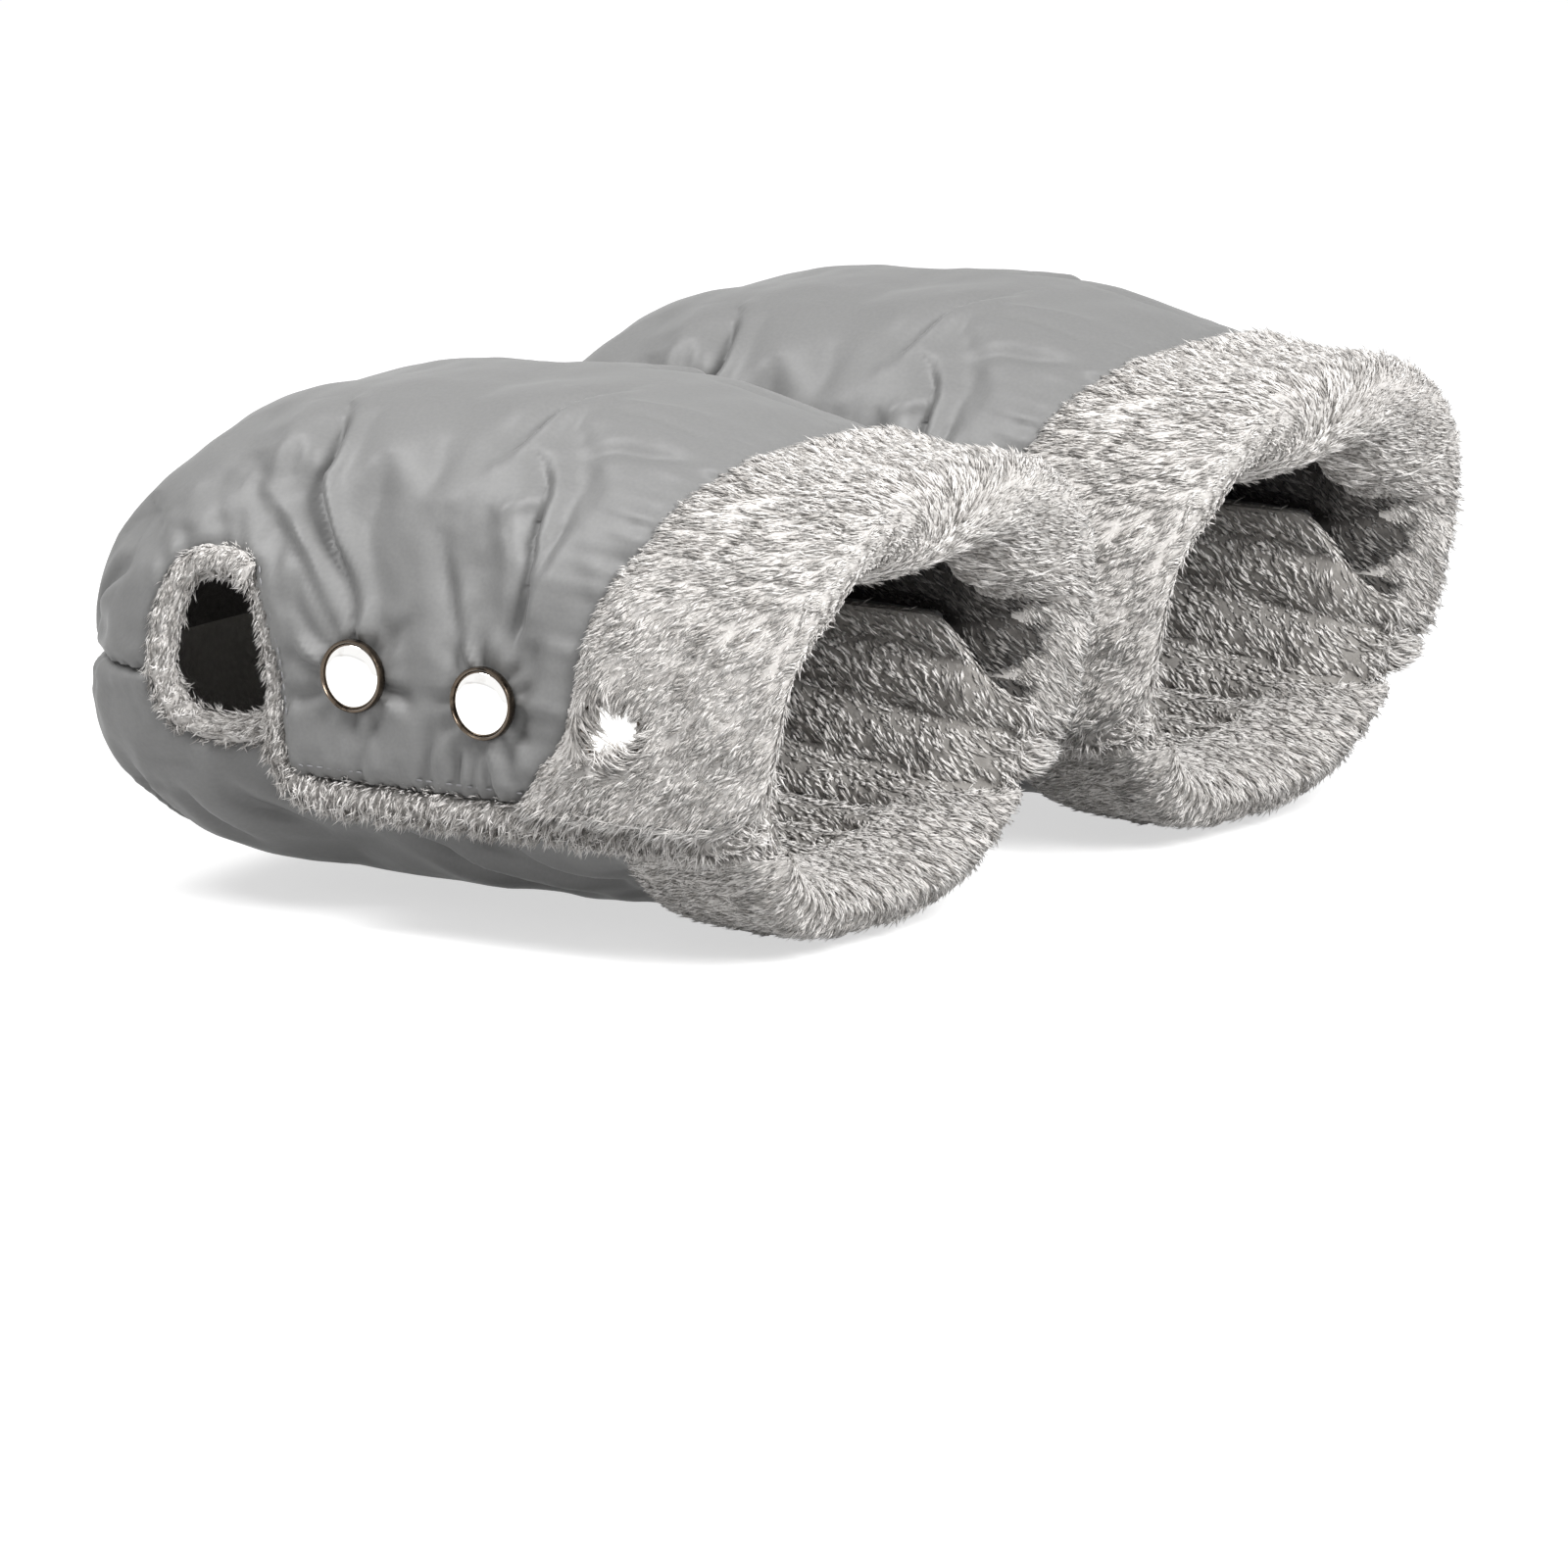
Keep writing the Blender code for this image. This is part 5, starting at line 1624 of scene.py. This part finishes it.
def stitch_tree():
    """Stitches set along a line at an even pitch, each turned the way that the line runs."""
    sockets = {
        "Line": "Geometry", "Pitch": "Float", "Stitch length": "Float", "Thread radius": "Float",
        "Finish": "Material",
    }
    tree, given, end, ids = new_group(
        "Lockstitch row", "GeometryNodeTree", sockets, {"Stitches": "Geometry"}
    )
    tree.is_modifier = True
    line = add_node(tree, "GeometryNodeMeshToCurve", {"Mesh": given["Line"]})
    inputs = {"Curve": line.outputs["Curve"], "Length": given["Pitch"]}
    even = add_node(tree, "GeometryNodeResampleCurve", inputs, mode="LENGTH")
    tangent = add_node(tree, "GeometryNodeInputTangent").outputs[0]
    turn = add_node(tree, "FunctionNodeAlignEulerToVector", {"Vector": tangent}, axis="Z")
    thread = add_node(tree, "GeometryNodeMeshUVSphere", {"Segments": 6, "Rings": 4, "Radius": 1.0})
    half = maths(tree, "MULTIPLY", given["Stitch length"], 0.5)
    radius = given["Thread radius"]
    size = add_node(tree, "ShaderNodeCombineXYZ", {"X": radius, "Y": radius, "Z": half})
    place = add_node(tree, "GeometryNodeInstanceOnPoints", {
        "Points": even.outputs["Curve"], "Instance": thread.outputs["Mesh"],
        "Rotation": turn.outputs[0], "Scale": size.outputs[0],
    })
    return finished(tree, given, end, place, "Stitches"), ids


STITCH_TREE, STITCH_INPUTS = stitch_tree()


def sew_line(points):
    """A plain mesh of stitches along a line of points."""
    line = new_mesh("line", points, [], [(k, k + 1) for k in range(len(points) - 1)])
    mesh = apply_tree(line, STITCH_TREE, STITCH_INPUTS, {
        "Pitch": STITCH_PITCH, "Stitch length": STITCH_LENGTH, "Thread radius": STITCH_RADIUS,
        "Finish": THREAD,
    })
    mesh.shade_smooth()
    return mesh


front_line = flap_front_line(4)[::-1]
hem_line = np.concatenate([
    laid_on(front_line + [STITCH_INSET, 0.0], upper_point, SHOULDER_HEIGHT)[
        front_line[:, 1] > STITCH_FOOT
    ],
    upper_point(
        body_stations(FLAP_FRONT + STITCH_INSET, STITCH_END, 0.003), STITCH_FOOT / SHOULDER_HEIGHT,
        0.0,
    ),
])
hem_line[:, 1] += hem_depth(STITCH_INSET) - STITCH_RADIUS
for side, turned in SIDES.items():
    stitches = sew_line(hem_line * turned)
    for muff, middle in MUFFS.items():
        piece = muff_piece(f"{muff}_{side}_hem_stitches", stitches, middle, THREAD)
        hang(piece, muff, side)

# THE STAGE
# A plain white floor and surround, lit by two soft square lamps. A long lens looks along the pair
# from the right of the mouths, a little from above.

VIEW_AZIMUTH = math.radians(34.0)
VIEW_ELEVATION = math.radians(11.0)
PIXELS = 1600.0
PIXELS_PER_METRE = 3750.0
NEAR_MUFF_PIXEL = (362.0, 649.0)
CAMERA_DISTANCE = 5.0
SENSOR = 0.036
FLOOR_HEIGHT = -0.0660
FLOOR_REACH = 12.0
FLOOR_GLOW = 0.62
SURROUND_LEVEL = 0.27
WHITE = (1.0, 1.0, 1.0, 1.0)
LAMP_AIM = Vector((0.06, 0.0, 0.0))

right = Vector((math.cos(VIEW_AZIMUTH), math.sin(VIEW_AZIMUTH), 0.0))
back = Vector((
    math.sin(VIEW_AZIMUTH) * math.cos(VIEW_ELEVATION),
    -math.cos(VIEW_AZIMUTH) * math.cos(VIEW_ELEVATION),
    math.sin(VIEW_ELEVATION),
))
up = back.cross(right)
aim = Vector((0.0, MUFFS["left"], 0.0))
aim += right * ((PIXELS / 2 - NEAR_MUFF_PIXEL[0]) / PIXELS_PER_METRE)
aim -= up * ((PIXELS / 2 - NEAR_MUFF_PIXEL[1]) / PIXELS_PER_METRE)
camera_data = bpy.data.cameras.new("camera")
camera_data.sensor_width = SENSOR * 1000.0
camera_data.lens = SENSOR * 1000.0 * CAMERA_DISTANCE / (PIXELS / PIXELS_PER_METRE)
camera_data.clip_start = 0.1
camera_data.clip_end = 60.0
camera = new_object("camera", camera_data)
camera.location = aim + back * CAMERA_DISTANCE
camera.rotation_mode = "QUATERNION"
camera.rotation_quaternion = back.to_track_quat("Z", "Y")
bpy.context.scene.camera = camera

corners = ((-1, -1), (1, -1), (1, 1), (-1, 1))
floor_mesh = new_mesh(
    "floor", [(a * FLOOR_REACH, b * FLOOR_REACH, FLOOR_HEIGHT) for a, b in corners], [(0, 1, 2, 3)]
)
new_object("floor", floor_mesh)


def seen_directly(tree, rays):
    """1 where the floor or the surround is seen or reflected, and 0 where it lights the pair."""
    path = add_node(tree, "ShaderNodeLightPath").outputs
    seen = path["Is Camera Ray"]
    for ray in rays:
        seen = maths(tree, "MAXIMUM", seen, path[ray])
    return seen


floor_material, tree, shader = new_material("White floor")
seen = seen_directly(tree, ["Is Glossy Ray"])
set_inputs(tree, shader, {
    "Base Color": (0.55, 0.55, 0.55, 1.0), "Roughness": 0.9, "Specular IOR Level": 0.0,
    "Emission Color": WHITE, "Emission Strength": maths(tree, "MULTIPLY", seen, FLOOR_GLOW),
})
floor_mesh.materials.append(floor_material)

world = bpy.data.worlds.new("studio")
bpy.context.scene.world = world
world.use_nodes = True
tree = world.node_tree
seen = seen_directly(tree, ["Is Glossy Ray", "Is Transmission Ray"])
set_inputs(tree, tree.nodes["Background"], {
    "Color": WHITE, "Strength": mapped(tree, seen, to_min=SURROUND_LEVEL, to_max=1.0),
})


def add_lamp(name, place, size, power):
    """A square soft lamp that faces the middle of the pair."""
    data = bpy.data.lights.new(name, "AREA")
    data.size = size
    data.energy = power
    lamp = new_object(name, data)
    lamp.location = place
    lamp.rotation_mode = "QUATERNION"
    lamp.rotation_quaternion = (Vector(place) - LAMP_AIM).to_track_quat("Z", "Y")


add_lamp("key", (-0.7, -1.0, 1.9), 1.0, 42.0)
add_lamp("fill", (1.9, -0.6, 1.3), 0.9, 66.0)

bpy.context.scene.view_settings.view_transform = "Standard"
